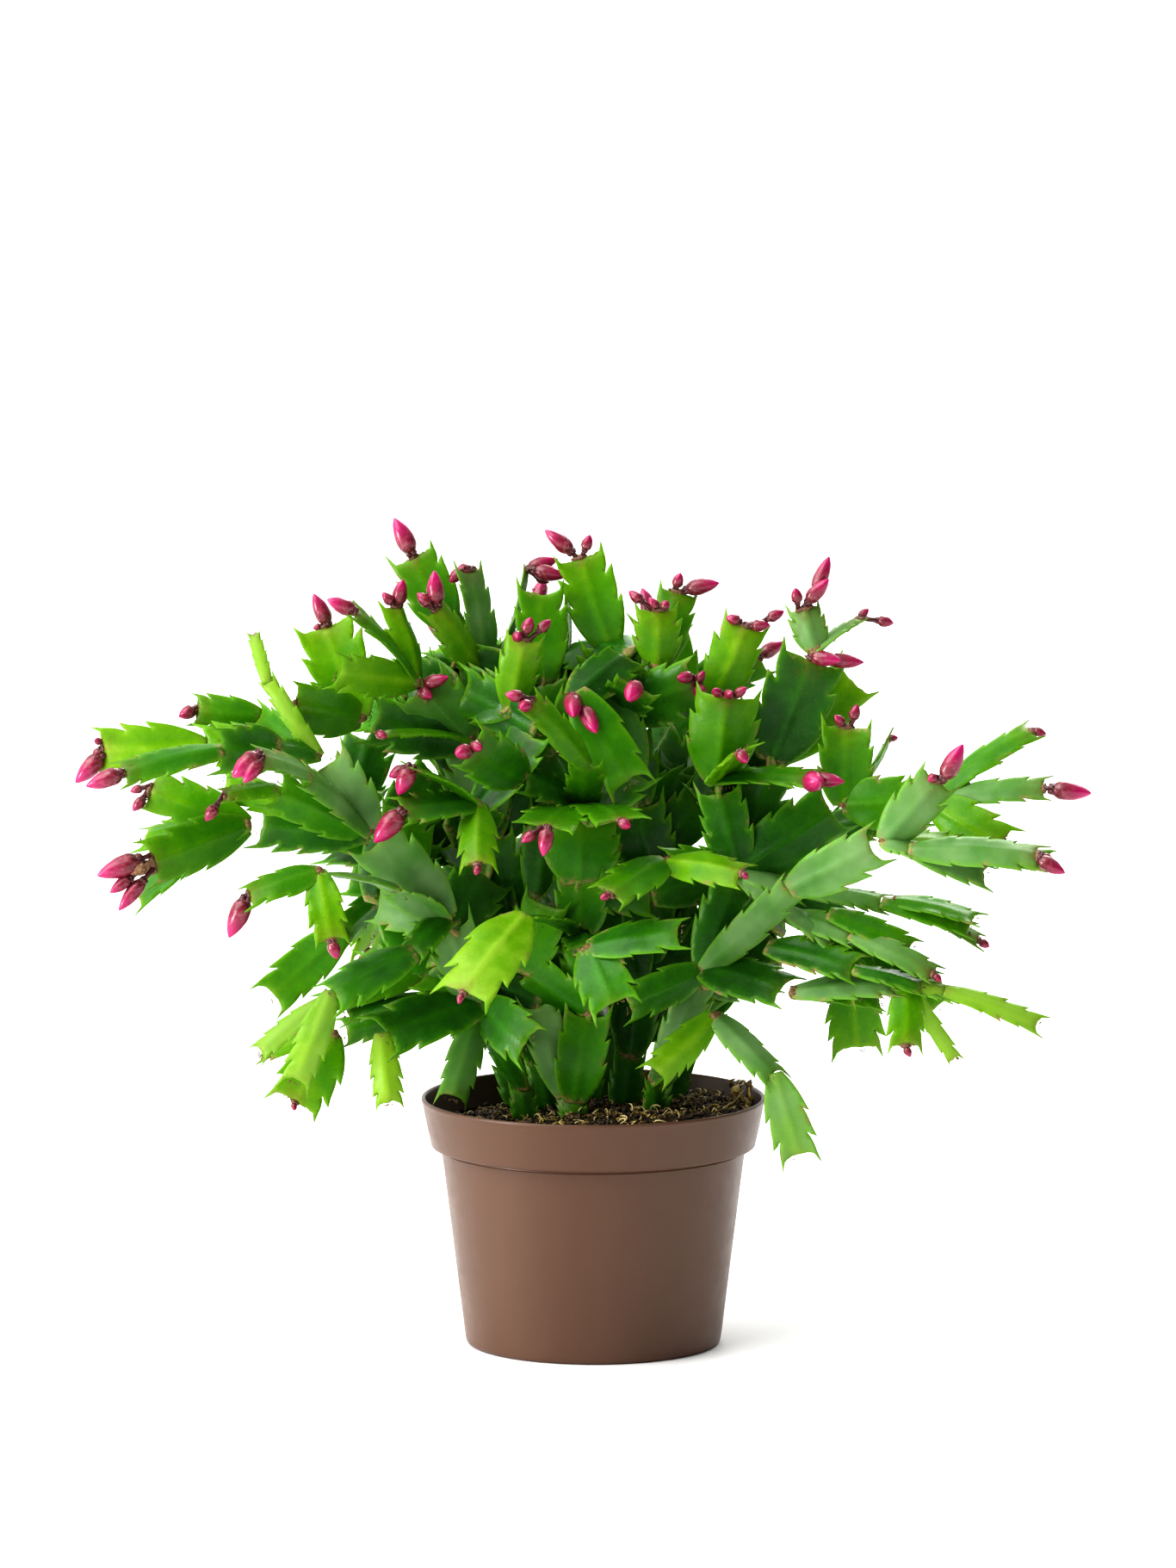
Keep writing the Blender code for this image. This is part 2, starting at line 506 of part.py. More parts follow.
class Segment:
    """One flat segment between two joints, with the directions along, across and out of it."""

    def __init__(self, start, end, width, facing, before=None):
        self.start = start
        self.end = end
        self.width = width
        self.length = (end - start).length
        self.along = (end - start).normalized()
        out = Vector(FACING[facing])
        out = (out - out.dot(self.along) * self.along).normalized()
        if before is not None and out.dot(before.out) < 0:
            out = -out
        self.out = out
        self.across = self.along.cross(out)


def segments_of(start, joints):
    """The segments of one shoot, whose joints are in centimetres."""
    found = []
    for x, y, z, width, facing in joints:
        end = Vector((x, y, z)) * CM
        before = found[-1] if found else None
        found.append(Segment(start, end, width * CM, facing, before))
        start = end
    return found


def ring(bm, centre, across, out, half_width, half_thickness):
    """Four corners of a flat diamond section."""
    offsets = (across * half_width, out * half_thickness, -across * half_width, -out * half_thickness)
    return [bm.verts.new(centre + offset) for offset in offsets]


def skin(bm, rings):
    """Faces between each two rings, and a cap at each end."""
    for first, second in zip(rings, rings[1:]):
        for i in range(len(first)):
            j = (i + 1) % len(first)
            bm.faces.new((first[i], first[j], second[j], second[i]))
    bm.faces.new(list(reversed(rings[0])))
    bm.faces.new(rings[-1])
    bmesh.ops.recalc_face_normals(bm, faces=bm.faces)


def shoot_mesh(name, segments):
    """A jointed flat stem: a diamond section that swells along each segment and narrows at each joint."""
    bm = bmesh.new()
    first = segments[0]
    rings = [ring(bm, first.start, first.across, first.out, NECK_WIDTH / 2, THICKNESS / 2)]
    for i, segment in enumerate(segments):
        for part, width in OUTLINE:
            arch = segment.out * BOW * segment.length * math.sin(math.pi * part)
            centre = segment.start.lerp(segment.end, part) + arch
            half = segment.width * width / 2
            rings.append(ring(bm, centre, segment.across, segment.out, half, THICKNESS / 2))
        if i + 1 < len(segments):
            after = segments[i + 1]
            across = (segment.across + after.across).normalized()
            out = (segment.out + after.out).normalized()
            rings.append(ring(bm, segment.end, across, out, NECK_WIDTH / 2, THICKNESS / 2))
        else:
            half = max(NECK_WIDTH, segment.width * TIP_WIDTH) / 2
            rings.append(ring(bm, segment.end, segment.across, segment.out, half, THICKNESS / 2))
    skin(bm, rings)
    mesh = bpy.data.meshes.new(name)
    bm.to_mesh(mesh)
    bm.free()
    return mesh


def knuckle_mesh(name, centre):
    """The corky knuckle at the foot of a fork."""
    bm = bmesh.new()
    bmesh.ops.create_icosphere(bm, subdivisions=1, radius=KNUCKLE_RADIUS)
    bmesh.ops.translate(bm, verts=bm.verts, vec=centre)
    mesh = bpy.data.meshes.new(name)
    bm.to_mesh(mesh)
    bm.free()
    return mesh


def reach(segments, axis):
    """How far the foot of a piece stands out along an axis from its middle."""
    if len(segments) > 1:
        return KNUCKLE_RADIUS + GAP
    first = segments[0]
    return abs(first.across.dot(axis)) * NECK_WIDTH / 2 + abs(first.out.dot(axis)) * THICKNESS / 2


def place_piece(base, shoots, tips):
    """The segments of each of a piece's shoots, set just clear of the tip that carries them."""
    if isinstance(base[0], str):
        carrier = tips[base]
        start = carrier.end
        first = [segments_of(start, joints)[0] for _, joints in shoots]
        start = start + carrier.along * (GAP + reach(first, carrier.along))
    else:
        start = Vector(base) * CM
    return [segments_of(start, joints) for _, joints in shoots]


def join_as_one(name, meshes, collection):
    """One closed body from meshes that cross each other."""
    piece = add_object(name, meshes[0], collection)
    others = [add_object(mesh.name, mesh, collection) for mesh in meshes[1:]]
    for other in others:
        boolean = piece.modifiers.new(other.name, "BOOLEAN")
        boolean.operation = "UNION"
        boolean.solver = "MANIFOLD"
        boolean.object = other
    as_mesh(piece)
    for other in others:
        bpy.data.objects.remove(other)
    keep_largest_island(piece.data)
    return piece


def make_plant(collection):
    tips = {}
    for name, base, shoots in PLANT:
        placed = place_piece(base, shoots, tips)
        for number, segments in enumerate(placed):
            tips[(name, number)] = segments[-1]
        meshes = [shoot_mesh(f"{name}_{i}", segments) for i, segments in enumerate(placed)]
        if len(placed) > 1:
            meshes.insert(0, knuckle_mesh(f"{name}_knuckle", placed[0][0].start))
        piece = join_as_one(name, meshes, collection)
        give_material(piece, GREENS[shoots[0][0]], 0.42)
    return tips


def bud_mesh(name, foot, run, width):
    """A round, pointed bud along a run."""
    bm = bmesh.new()
    turn = Vector((0, 0, 1)).rotation_difference(run)
    rings = []
    for part, wide in BUD_OUTLINE:
        corners = []
        for i in range(BUD_SIDES):
            angle = 2 * math.pi * i / BUD_SIDES
            corner = Vector((math.cos(angle), math.sin(angle), 0)) * width * wide / 2
            corners.append(bm.verts.new(foot + run * part + turn @ corner))
        rings.append(corners)
    skin(bm, rings)
    bmesh.ops.poke(bm, faces=[face for face in bm.faces if len(face.verts) == BUD_SIDES][-1:])
    bm.verts.ensure_lookup_table()
    bm.verts[-1].co = foot + run
    mesh = bpy.data.meshes.new(name)
    bm.to_mesh(mesh)
    bm.free()
    return mesh


def make_buds(collection, tips):
    for name, bearer, buds in BUDS:
        tip = tips[bearer]
        meshes = []
        for i, (x, y, z, width) in enumerate(buds):
            run = Vector((x, y, z)) * CM
            foot = tip.end + tip.along * (GAP + width * CM * BUD_OUTLINE[0][1] / 2)
            meshes.append(bud_mesh(f"{name}_{i}", foot, run, width * CM))
        piece = join_as_one(name, meshes, collection)
        give_material(piece, BUD_PINK, 0.35)


def main():
    clear_scene()
    collection = new_collection(OBJECT_NAME)
    hidden = new_collection("construction", hidden=True)
    roots = [Vector(base) * CM for _, base, _ in PLANT if not isinstance(base[0], str)]
    make_pot(collection, hidden)
    make_soil(collection, hidden, roots)
    tips = make_plant(collection)
    make_buds(collection, tips)


main()
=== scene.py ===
"""The looks of the potted Christmas cactus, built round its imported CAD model.

Metres, +Z up, -Y to the front. Each CAD node is stood for by one or two detailed pieces. The small clusters
of buds that have no CAD node are pieces of their own. All of them ride with the object.
"""

import json
import math
import random

import bmesh
import bpy
import numpy as np
from mathutils import Matrix, Vector, noise
from mathutils.geometry import delaunay_2d_cdt

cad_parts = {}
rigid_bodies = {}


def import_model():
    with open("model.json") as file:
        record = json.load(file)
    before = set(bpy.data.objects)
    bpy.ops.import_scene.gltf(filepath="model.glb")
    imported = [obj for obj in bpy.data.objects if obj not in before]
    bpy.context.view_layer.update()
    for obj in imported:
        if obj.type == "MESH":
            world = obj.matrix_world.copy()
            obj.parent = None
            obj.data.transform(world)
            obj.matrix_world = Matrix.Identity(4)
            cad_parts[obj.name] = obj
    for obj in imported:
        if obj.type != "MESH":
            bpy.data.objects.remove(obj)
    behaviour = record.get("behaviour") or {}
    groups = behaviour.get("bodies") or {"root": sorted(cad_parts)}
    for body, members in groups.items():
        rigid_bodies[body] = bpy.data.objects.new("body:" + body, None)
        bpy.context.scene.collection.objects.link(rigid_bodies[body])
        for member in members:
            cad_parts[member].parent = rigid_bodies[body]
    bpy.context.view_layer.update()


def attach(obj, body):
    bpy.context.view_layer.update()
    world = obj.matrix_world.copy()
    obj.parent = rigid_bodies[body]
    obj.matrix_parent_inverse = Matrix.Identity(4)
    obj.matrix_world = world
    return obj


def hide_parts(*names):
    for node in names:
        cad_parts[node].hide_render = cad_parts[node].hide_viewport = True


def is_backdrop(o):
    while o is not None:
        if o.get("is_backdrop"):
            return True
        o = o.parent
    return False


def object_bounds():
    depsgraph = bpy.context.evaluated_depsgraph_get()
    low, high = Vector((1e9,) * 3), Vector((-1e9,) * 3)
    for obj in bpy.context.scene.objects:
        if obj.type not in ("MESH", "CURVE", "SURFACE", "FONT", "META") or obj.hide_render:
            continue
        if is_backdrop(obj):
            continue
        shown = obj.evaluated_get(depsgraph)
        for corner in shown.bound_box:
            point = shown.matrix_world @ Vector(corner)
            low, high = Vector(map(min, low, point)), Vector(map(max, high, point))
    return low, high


MM = 0.001
CM = 0.01
GAP = 0.35 * MM

# The sizes that part.py gives the pot, the compost and the stems.
POT_HEIGHT = 94 * MM
COLLAR_HEIGHT = 18.5 * MM
COLLAR_FOOT = POT_HEIGHT - COLLAR_HEIGHT
COLLAR_RADIUS = 61.4 * MM
NECK_RADIUS = 57.6 * MM
BASE_RADIUS = 48.2 * MM
WALL = 1.5 * MM
FLOOR = 2.2 * MM
DRAIN_HOLES = 6
DRAIN_RADIUS = 4 * MM
DRAIN_CIRCLE = 34 * MM
SOIL_LEVEL = 87 * MM
SOIL_RISE_RIGHT = 4.5 * MM
SOIL_RISE_FRONT = 3.5 * MM
SOIL_DOME = 2.5 * MM
THICKNESS = 1.9 * MM
NECK_WIDTH = 4.6 * MM
KNUCKLE_RADIUS = 2.7 * MM
BOW = 0.045

# Where the random draws start. Each stem, branch or group of buds adds its own number.
STEM_SEED = 1000
FILL_SEED = 3000
BUD_SEED = 5000
LITTER_SEED = 77

# Which way a segment's flat side looks: front, back, right, up, or between them.
FACING = {
    "F": (0, -1, 0), "B": (0, 1, 0), "R": (1, 0, 0), "U": (0, 0, 1),
    "FU": (0, -1, 1), "UF": (0, -1, 2), "FL": (-1, -1, 0), "FR": (1, -1, 0),
    "BU": (0, 1, 1), "BL": (-1, 1, 0), "BR": (1, 1, 0),
}

# The plant, in centimetres. Each row is one piece: its name, the shoot tip that it springs from as
# (piece, shoot number) or the point where it is rooted, and its shoots. All of a piece's shoots start at
# that one place. A shoot is its green and its joints, and each joint is (x, y, z, width of the segment
# that ends there, facing of that segment).
PLANT = [
    # The left stem and what it carries.
    ("stem_left", (-2.5, -0.8, 8.3), [
        ("dark", [(-2.7, -0.9, 9.9, 1.0, "F"), (-4.1, -1.3, 12.8, 1.5, "FL")]),
    ]),
    ("left_low_fork", ("stem_left", 0), [
        ("grey", [(-5.4, -1.9, 16.2, 2.0, "F")]),
        ("dark", [(-7.9, -3.9, 12.3, 2.3, "FU"), (-7.6, -4.5, 9.8, 1.1, "F")]),
        ("grey", [(-5.3, -2.7, 9.7, 1.3, "F")]),
        ("dark", [(-2.4, -3.4, 11.9, 1.9, "F")]),
        ("mid", [(-6.6, -0.4, 14.0, 1.4, "FU"), (-10.3, -1.2, 13.1, 1.2, "FU"),
                 (-12.6, -1.5, 11.3, 0.9, "FU")]),
        ("dark", [(-6.4, 1.2, 12.6, 1.3, "F"), (-9.5, 0.8, 11.7, 1.2, "F")]),
    ]),
    ("left_low_tips", ("left_low_fork", 5), [
        ("bright", [(-11.3, 0.4, 9.1, 2.1, "F")]),
        ("bright", [(-12.7, 0.9, 10.9, 0.9, "FU")]),
    ]),
    ("left_mid_fork", ("left_low_fork", 0), [
        ("grey", [(-8.2, -2.6, 19.6, 2.3, "F")]),
        ("dark", [(-6.8, -3.6, 15.4, 1.2, "FU"), (-9.8, -4.8, 14.0, 1.8, "FU"),
                  (-11.1, -5.6, 10.8, 1.2, "F")]),
        ("grey", [(-7.4, -3.9, 17.9, 1.2, "U"), (-9.9, -5.0, 18.6, 1.3, "U")]),
        ("grey", [(-8.2, -0.5, 17.0, 2.0, "F")]),
        ("dark", [(-7.8, 1.8, 18.4, 1.8, "FU"), (-11.2, 2.6, 20.0, 1.7, "FU")]),
    ]),
    ("left_droop", ("left_mid_fork", 2), [
        ("mid", [(-12.8, -5.6, 17.9, 1.3, "FU")]),
        ("bright", [(-9.7, -6.3, 16.3, 1.3, "F")]),
    ]),
    ("left_top_fork", ("left_mid_fork", 0), [
        ("grey", [(-10.1, -3.0, 22.5, 2.3, "F")]),
        ("grey", [(-10.6, -5.0, 22.3, 1.2, "FU"), (-12.3, -6.2, 23.1, 1.1, "FU")]),
        ("mid", [(-11.9, -3.9, 21.6, 1.7, "F"), (-13.7, -4.6, 21.5, 0.8, "FU")]),
        ("dark", [(-12.6, -2.8, 20.1, 1.8, "F")]),
    ]),
    ("left_far_top", ("left_top_fork", 0), [
        ("bright", [(-12.4, -2.2, 23.1, 1.4, "FU"), (-14.6, -1.8, 23.0, 1.6, "F"),
                    (-18.4, -1.2, 22.8, 1.8, "F")]),
        ("dark", [(-11.8, -4.0, 23.2, 1.1, "FU"), (-13.9, -4.9, 23.2, 1.9, "F"),
                  (-17.4, -5.8, 22.5, 1.25, "FU")]),
        ("pale", [(-12.2, -2.4, 25.6, 0.7, "F"), (-12.7, -1.6, 27.2, 0.5, "F")]),
        ("mid", [(-12.6, -0.9, 24.0, 1.2, "F"), (-14.9, -0.7, 24.2, 1.3, "F")]),
    ]),
    ("left_far_low", ("left_top_fork", 3), [
        ("bright", [(-16.4, -4.6, 19.0, 1.9, "F")]),
        ("bright", [(-16.6, -2.4, 21.4, 1.7, "F")]),
        ("bright", [(-17.0, -0.9, 19.4, 1.4, "FU")]),
        ("mid", [(-17.1, -3.0, 17.3, 1.1, "FU")]),
    ]),
    # The rear left stem.
    ("stem_rear_left", (-1.6, 0.9, 8.2), [
        ("dark", [(-2.0, 1.0, 10.6, 1.3, "F"), (-2.8, 1.4, 13.6, 1.8, "F"), (-3.2, 1.2, 16.2, 1.9, "F"),
                  (-3.9, 0.8, 19.2, 2.0, "F")]),
    ]),
    ("rear_left_fork", ("stem_rear_left", 0), [
        ("grey", [(-4.6, 0.2, 22.6, 2.2, "F")]),
        ("dark", [(-4.3, -2.0, 20.7, 1.5, "U")]),
        ("dark", [(-5.6, 3.4, 21.4, 1.8, "BL"), (-7.2, 5.0, 24.0, 1.7, "BL")]),
    ]),
    ("front_left_fan", ("rear_left_fork", 1), [
        ("dark", [(-7.1, -4.2, 20.8, 1.4, "FU")]),
        ("mid", [(-6.8, -3.6, 22.4, 1.1, "U")]),
        ("pale", [(-4.3, -4.6, 18.9, 1.4, "F")]),
    ]),
    ("upper_left_fork", ("rear_left_fork", 0), [
        ("grey", [(-6.4, -0.5, 25.0, 2.4, "F")]),
        ("dark", [(-8.4, -0.4, 23.8, 2.0, "F")]),
        ("mid", [(-8.0, -2.2, 23.5, 1.0, "U")]),
        ("mid", [(-5.8, 3.0, 25.4, 1.7, "BL")]),
    ]),
    ("top_left_fan", ("upper_left_fork", 0), [
        ("mid", [(-8.9, -1.6, 28.0, 1.1, "R")]),
        ("bright", [(-9.6, -2.8, 25.9, 1.5, "F")]),
        ("bright", [(-7.4, 0.2, 28.0, 1.3, "FR")]),
    ]),
    ("left_wide_fan", ("upper_left_fork", 1), [
        ("bright", [(-10.1, 0.6, 27.2, 2.3, "F")]),
        ("mid", [(-11.2, -1.6, 24.5, 1.9, "F")]),
    ]),
    # The centre stem.
    ("stem_centre", (-0.7, -1.8, 8.5), [
        ("mid", [(-0.7, -1.8, 9.6, 0.9, "F"), (-0.2, -1.7, 12.9, 1.9, "F"), (-0.4, -1.5, 15.4, 1.7, "F")]),
        ("grey", [(-1.1, -1.7, 9.8, 0.8, "F"), (-2.1, -1.3, 13.2, 1.5, "F")]),
    ]),
    ("front_fork", ("stem_centre", 0), [
        ("mid", [(-0.5, -1.2, 17.8, 1.9, "F"), (-0.4, -1.0, 20.2, 2.8, "F")]),
        ("dark", [(-0.2, -5.4, 15.9, 1.7, "U")]),
        ("dark", [(-2.6, -5.2, 17.0, 1.7, "U"), (-4.8, -8.0, 14.6, 2.4, "FU")]),
    ]),
    ("front_hang", ("front_fork", 1), [
        ("bright", [(0.8, -7.2, 14.0, 2.0, "F")]),
        ("mid", [(3.3, -6.6, 16.6, 1.6, "FU")]),
    ]),
    ("centre_fan", ("front_fork", 0), [
        ("dark", [(-1.5, 0.0, 22.6, 2.0, "F")]),
        ("mid", [(-1.8, -6.2, 20.5, 2.5, "U")]),
        ("mid", [(1.0, -5.8, 20.7, 2.2, "U")]),
        ("mid", [(-0.3, -3.4, 22.5, 1.4, "F"), (-2.3, -4.8, 25.0, 1.2, "FR")]),
        ("dark", [(-2.7, -2.8, 21.9, 1.6, "FU"), (-4.5, -4.8, 23.3, 2.0, "F")]),
    ]),
    ("centre_top_fork", ("centre_fan", 0), [
        ("mid", [(-1.9, 0.6, 25.2, 2.0, "F"), (-2.0, 0.9, 28.6, 1.9, "F")]),
        ("bright", [(-3.1, -1.1, 24.4, 1.2, "F"), (-2.6, -1.7, 27.0, 1.5, "F")]),
        ("dark", [(-3.8, 1.0, 24.7, 1.6, "F")]),
        ("dark", [(-0.7, -1.7, 24.8, 1.3, "F")]),
        ("mid", [(-1.2, 3.0, 24.8, 1.7, "R"), (-1.0, 4.0, 28.0, 1.7, "R")]),
    ]),
    ("centre_fall", ("centre_top_fork", 3), [
        ("bright", [(1.4, -2.7, 21.6, 1.9, "F")]),
    ]),
    ("top_rear_left_fan", ("centre_top_fork", 2), [
        ("mid", [(-5.5, 1.5, 27.2, 1.4, "F"), (-6.8, 1.8, 29.7, 1.9, "F")]),
        ("bright", [(-5.9, -0.2, 28.0, 1.3, "FR")]),
        ("grey", [(-4.7, 1.8, 29.2, 1.5, "FR")]),
        ("grey", [(-2.5, 2.3, 29.1, 1.0, "R")]),
    ]),
    # The rear right stem.
    ("stem_rear_right", (1.1, 0.9, 8.4), [
        ("dark", [(1.4, 1.1, 10.8, 1.3, "F"), (1.8, 1.4, 14.0, 1.8, "F"), (2.2, 1.4, 17.2, 2.0, "F")]),
    ]),
    ("rear_right_fork", ("stem_rear_right", 0), [
        ("dark", [(1.7, 1.3, 20.4, 2.2, "F"), (0.9, 1.2, 23.6, 2.2, "F")]),
        ("dark", [(5.8, 1.6, 17.9, 1.6, "FU"), (9.3, 1.0, 15.9, 1.5, "FU"), (9.8, 1.2, 13.4, 1.2, "F"),
                  (10.0, 1.3, 10.9, 2.0, "F")]),
        ("dark", [(3.9, 4.4, 19.9, 1.8, "BR"), (6.2, 5.0, 22.4, 1.8, "R")]),
    ]),
    ("top_right_fork", ("rear_right_fork", 0), [
        ("bright", [(0.6, 1.4, 26.4, 2.3, "F"), (-0.5, 1.6, 29.7, 2.0, "F")]),
        ("dark", [(2.2, 0.2, 25.5, 2.0, "F")]),
        ("dark", [(3.8, -1.0, 25.2, 2.2, "F")]),
        ("dark", [(1.6, -2.4, 25.3, 1.9, "F")]),
        ("mid", [(3.0, 3.8, 26.6, 1.7, "BR")]),
    ]),
    ("top_right_fan", ("top_right_fork", 1), [
        ("bright", [(2.4, 0.0, 27.9, 1.7, "F")]),
        ("mid", [(3.2, 1.6, 28.4, 1.6, "F")]),
    ]),
    # The right stem.
    ("stem_right", (2.3, -1.2, 8.6), [
        ("grey", [(2.5, -1.2, 10.0, 1.0, "F"), (4.0, -1.9, 14.2, 1.5, "F")]),
        ("dark", [(2.3, -2.2, 10.4, 0.8, "F"), (4.3, -3.6, 12.8, 1.1, "FU")]),
    ]),
    ("right_bottom_fan", ("stem_right", 1), [
        ("grey", [(6.8, -4.7, 10.9, 1.2, "FU"), (7.7, -5.1, 7.9, 1.5, "F")]),
        ("bright", [(2.3, -4.8, 11.0, 1.3, "F")]),
    ]),
    ("right_fork", ("stem_right", 0), [
        ("dark", [(5.3, -1.8, 17.9, 1.8, "F")]),
        ("grey", [(7.4, -4.4, 18.0, 1.3, "F"), (10.5, -5.8, 19.8, 1.8, "F")]),
        ("dark", [(7.2, -4.2, 14.1, 2.0, "FU")]),
        ("mid", [(1.2, -2.9, 13.3, 1.5, "F")]),
    ]),
    ("right_front_fan", ("right_fork", 1), [
        ("grey", [(12.7, -6.4, 22.3, 1.7, "F")]),
        ("grey", [(11.8, -6.6, 19.7, 1.0, "UF"), (16.4, -7.2, 19.6, 1.4, "FU")]),
        ("bright", [(13.6, -5.0, 19.7, 1.1, "UF")]),
    ]),
    ("right_low_fan", ("right_fork", 2), [
        ("grey", [(11.3, -5.2, 14.5, 1.2, "FU")]),
        ("mid", [(10.8, -3.2, 13.5, 0.8, "FU")]),
    ]),
    ("right_low_tips", ("right_low_fan", 0), [
        ("pale", [(13.2, -5.4, 14.2, 0.8, "FU"), (16.6, -5.6, 13.0, 0.9, "FU")]),
        ("bright", [(11.6, -6.0, 12.3, 1.3, "F")]),
        ("pale", [(13.5, -4.4, 11.5, 0.6, "F")]),
    ]),
    ("right_hub", ("right_fork", 0), [
        ("dark", [(4.7, -1.6, 21.3, 1.8, "F")]),
        ("dark", [(9.1, -1.6, 20.6, 2.3, "F")]),
        ("dark", [(6.6, -0.2, 21.9, 2.1, "F")]),
        ("grey", [(7.9, -2.5, 17.6, 1.2, "UF"), (10.9, -3.0, 17.3, 1.2, "UF")]),
        ("grey", [(7.4, -3.1, 16.7, 1.1, "UF"), (9.7, -4.5, 16.2, 1.2, "FU"),
                  (12.6, -5.4, 14.9, 1.1, "FU")]),
        ("mid", [(2.9, -4.2, 18.9, 1.6, "FU")]),
        ("dark", [(7.8, 1.8, 18.9, 1.8, "FU"), (11.0, 2.8, 19.6, 1.7, "FU")]),
    ]),
    ("right_spray", ("right_hub", 3), [
        ("mid", [(14.3, -4.0, 16.7, 1.1, "UF")]),
        ("grey", [(14.4, -3.0, 15.8, 1.0, "UF")]),
    ]),
    ("front_mid_fan", ("right_hub", 5), [
        ("bright", [(5.5, -6.0, 18.8, 1.5, "FU")]),
        ("mid", [(0.6, -6.8, 18.1, 1.7, "FU")]),
    ]),
    ("right_centre_fan", ("right_hub", 0), [
        ("bright", [(5.0, -2.2, 24.9, 2.6, "F")]),
        ("bright", [(4.6, -0.2, 24.6, 1.6, "F"), (5.7, 0.0, 27.3, 1.8, "F")]),
        ("bright", [(5.4, -4.5, 23.1, 1.9, "FU")]),
        ("mid", [(8.1, -3.4, 21.9, 1.3, "UF")]),
    ]),
    ("right_far_fork", ("right_hub", 1), [
        ("mid", [(9.5, -1.8, 23.7, 2.0, "F")]),
        ("mid", [(12.2, -2.6, 21.0, 2.0, "F")]),
        ("mid", [(11.1, -0.2, 23.0, 1.0, "R")]),
    ]),
    ("right_far_fan", ("right_far_fork", 1), [
        ("mid", [(16.4, -1.4, 23.5, 1.2, "UF")]),
        ("grey", [(16.8, -3.4, 21.6, 1.1, "FU")]),
        ("bright", [(15.2, -4.4, 19.6, 1.7, "F")]),
    ]),
    ("right_tall", ("right_hub", 2), [
        ("dark", [(8.2, -0.6, 26.1, 2.7, "F")]),
        ("bright", [(9.9, 1.2, 25.2, 2.1, "F")]),
    ]),
    ("right_tall_tips", ("right_tall", 0), [
        ("grey", [(7.9, -0.4, 28.0, 1.3, "F")]),
        ("grey", [(10.0, 0.4, 27.5, 0.8, "U")]),
    ]),
    # The stems that lean to the back.
    ("stem_back", (-0.2, 2.8, 8.2), [
        ("dark", [(-0.4, 3.2, 11.0, 1.4, "B"), (-0.7, 4.2, 14.6, 1.9, "B"), (-0.6, 5.4, 17.8, 2.1, "B")]),
        ("mid", [(0.7, 3.6, 11.4, 1.2, "B"), (1.9, 5.4, 13.8, 1.6, "BU")]),
    ]),
    ("back_fork", ("stem_back", 0), [
        ("mid", [(-2.2, 6.0, 20.8, 2.1, "B"), (-3.0, 6.8, 23.9, 2.0, "BL")]),
        ("dark", [(1.8, 6.2, 20.6, 2.0, "B"), (3.4, 7.0, 23.4, 2.1, "BR")]),
        ("mid", [(-0.4, 8.8, 18.6, 2.0, "BU"), (-0.2, 11.6, 16.0, 1.9, "BU")]),
    ]),
    ("back_left_fan", ("back_fork", 0), [
        ("bright", [(-5.6, 7.8, 26.0, 1.9, "B")]),
        ("mid", [(-2.2, 6.0, 27.2, 1.8, "BL")]),
        ("bright", [(-5.2, 9.8, 22.8, 1.7, "BU")]),
    ]),
    ("back_right_fan", ("back_fork", 1), [
        ("bright", [(2.4, 6.8, 26.8, 1.9, "B")]),
        ("mid", [(6.4, 7.8, 25.2, 1.8, "B")]),
        ("bright", [(4.8, 10.4, 22.0, 1.7, "BU")]),
    ]),
    ("stem_back_left", (-2.6, 2.4, 8.2), [
        ("dark", [(-3.3, 2.9, 10.8, 1.4, "B"), (-4.9, 4.0, 14.0, 1.8, "BL"), (-6.7, 5.2, 16.8, 2.0, "BL")]),
    ]),
    ("back_left_low_fan", ("stem_back_left", 0), [
        ("mid", [(-9.4, 5.8, 19.2, 2.0, "B"), (-12.6, 6.6, 20.0, 1.8, "BU")]),
        ("bright", [(-7.8, 8.4, 16.6, 1.8, "BU"), (-8.8, 10.4, 13.4, 1.9, "BL")]),
        ("mid", [(-9.6, 4.4, 15.0, 1.6, "BU"), (-12.4, 4.6, 12.4, 1.7, "B")]),
    ]),
    ("stem_back_right", (2.7, 2.3, 8.5), [
        ("dark", [(3.3, 2.8, 10.9, 1.4, "B"), (5.3, 4.0, 13.8, 1.8, "BR"), (7.1, 5.2, 16.4, 2.0, "BR")]),
    ]),
    ("back_right_low_fan", ("stem_back_right", 0), [
        ("mid", [(9.8, 6.0, 18.8, 2.0, "B"), (13.0, 6.8, 19.2, 1.8, "BU")]),
        ("bright", [(8.2, 8.4, 16.0, 1.8, "BU"), (9.2, 10.4, 12.8, 1.9, "BR")]),
        ("mid", [(10.4, 4.6, 14.6, 1.6, "BU"), (13.2, 4.8, 11.8, 1.7, "B")]),
    ]),
]

# How far a shoot has aged, from 0 for old dark green to 1 for new yellow-green, and how much grey waxy bloom
# and painted sheen it has.
TONES = {
    "dark": (0.22, 0.05),
    "mid": (0.44, 0.02),
    "bright": (0.62, 0.0),
    "pale": (0.90, 0.30),
    "grey": (0.30, 0.85),
}

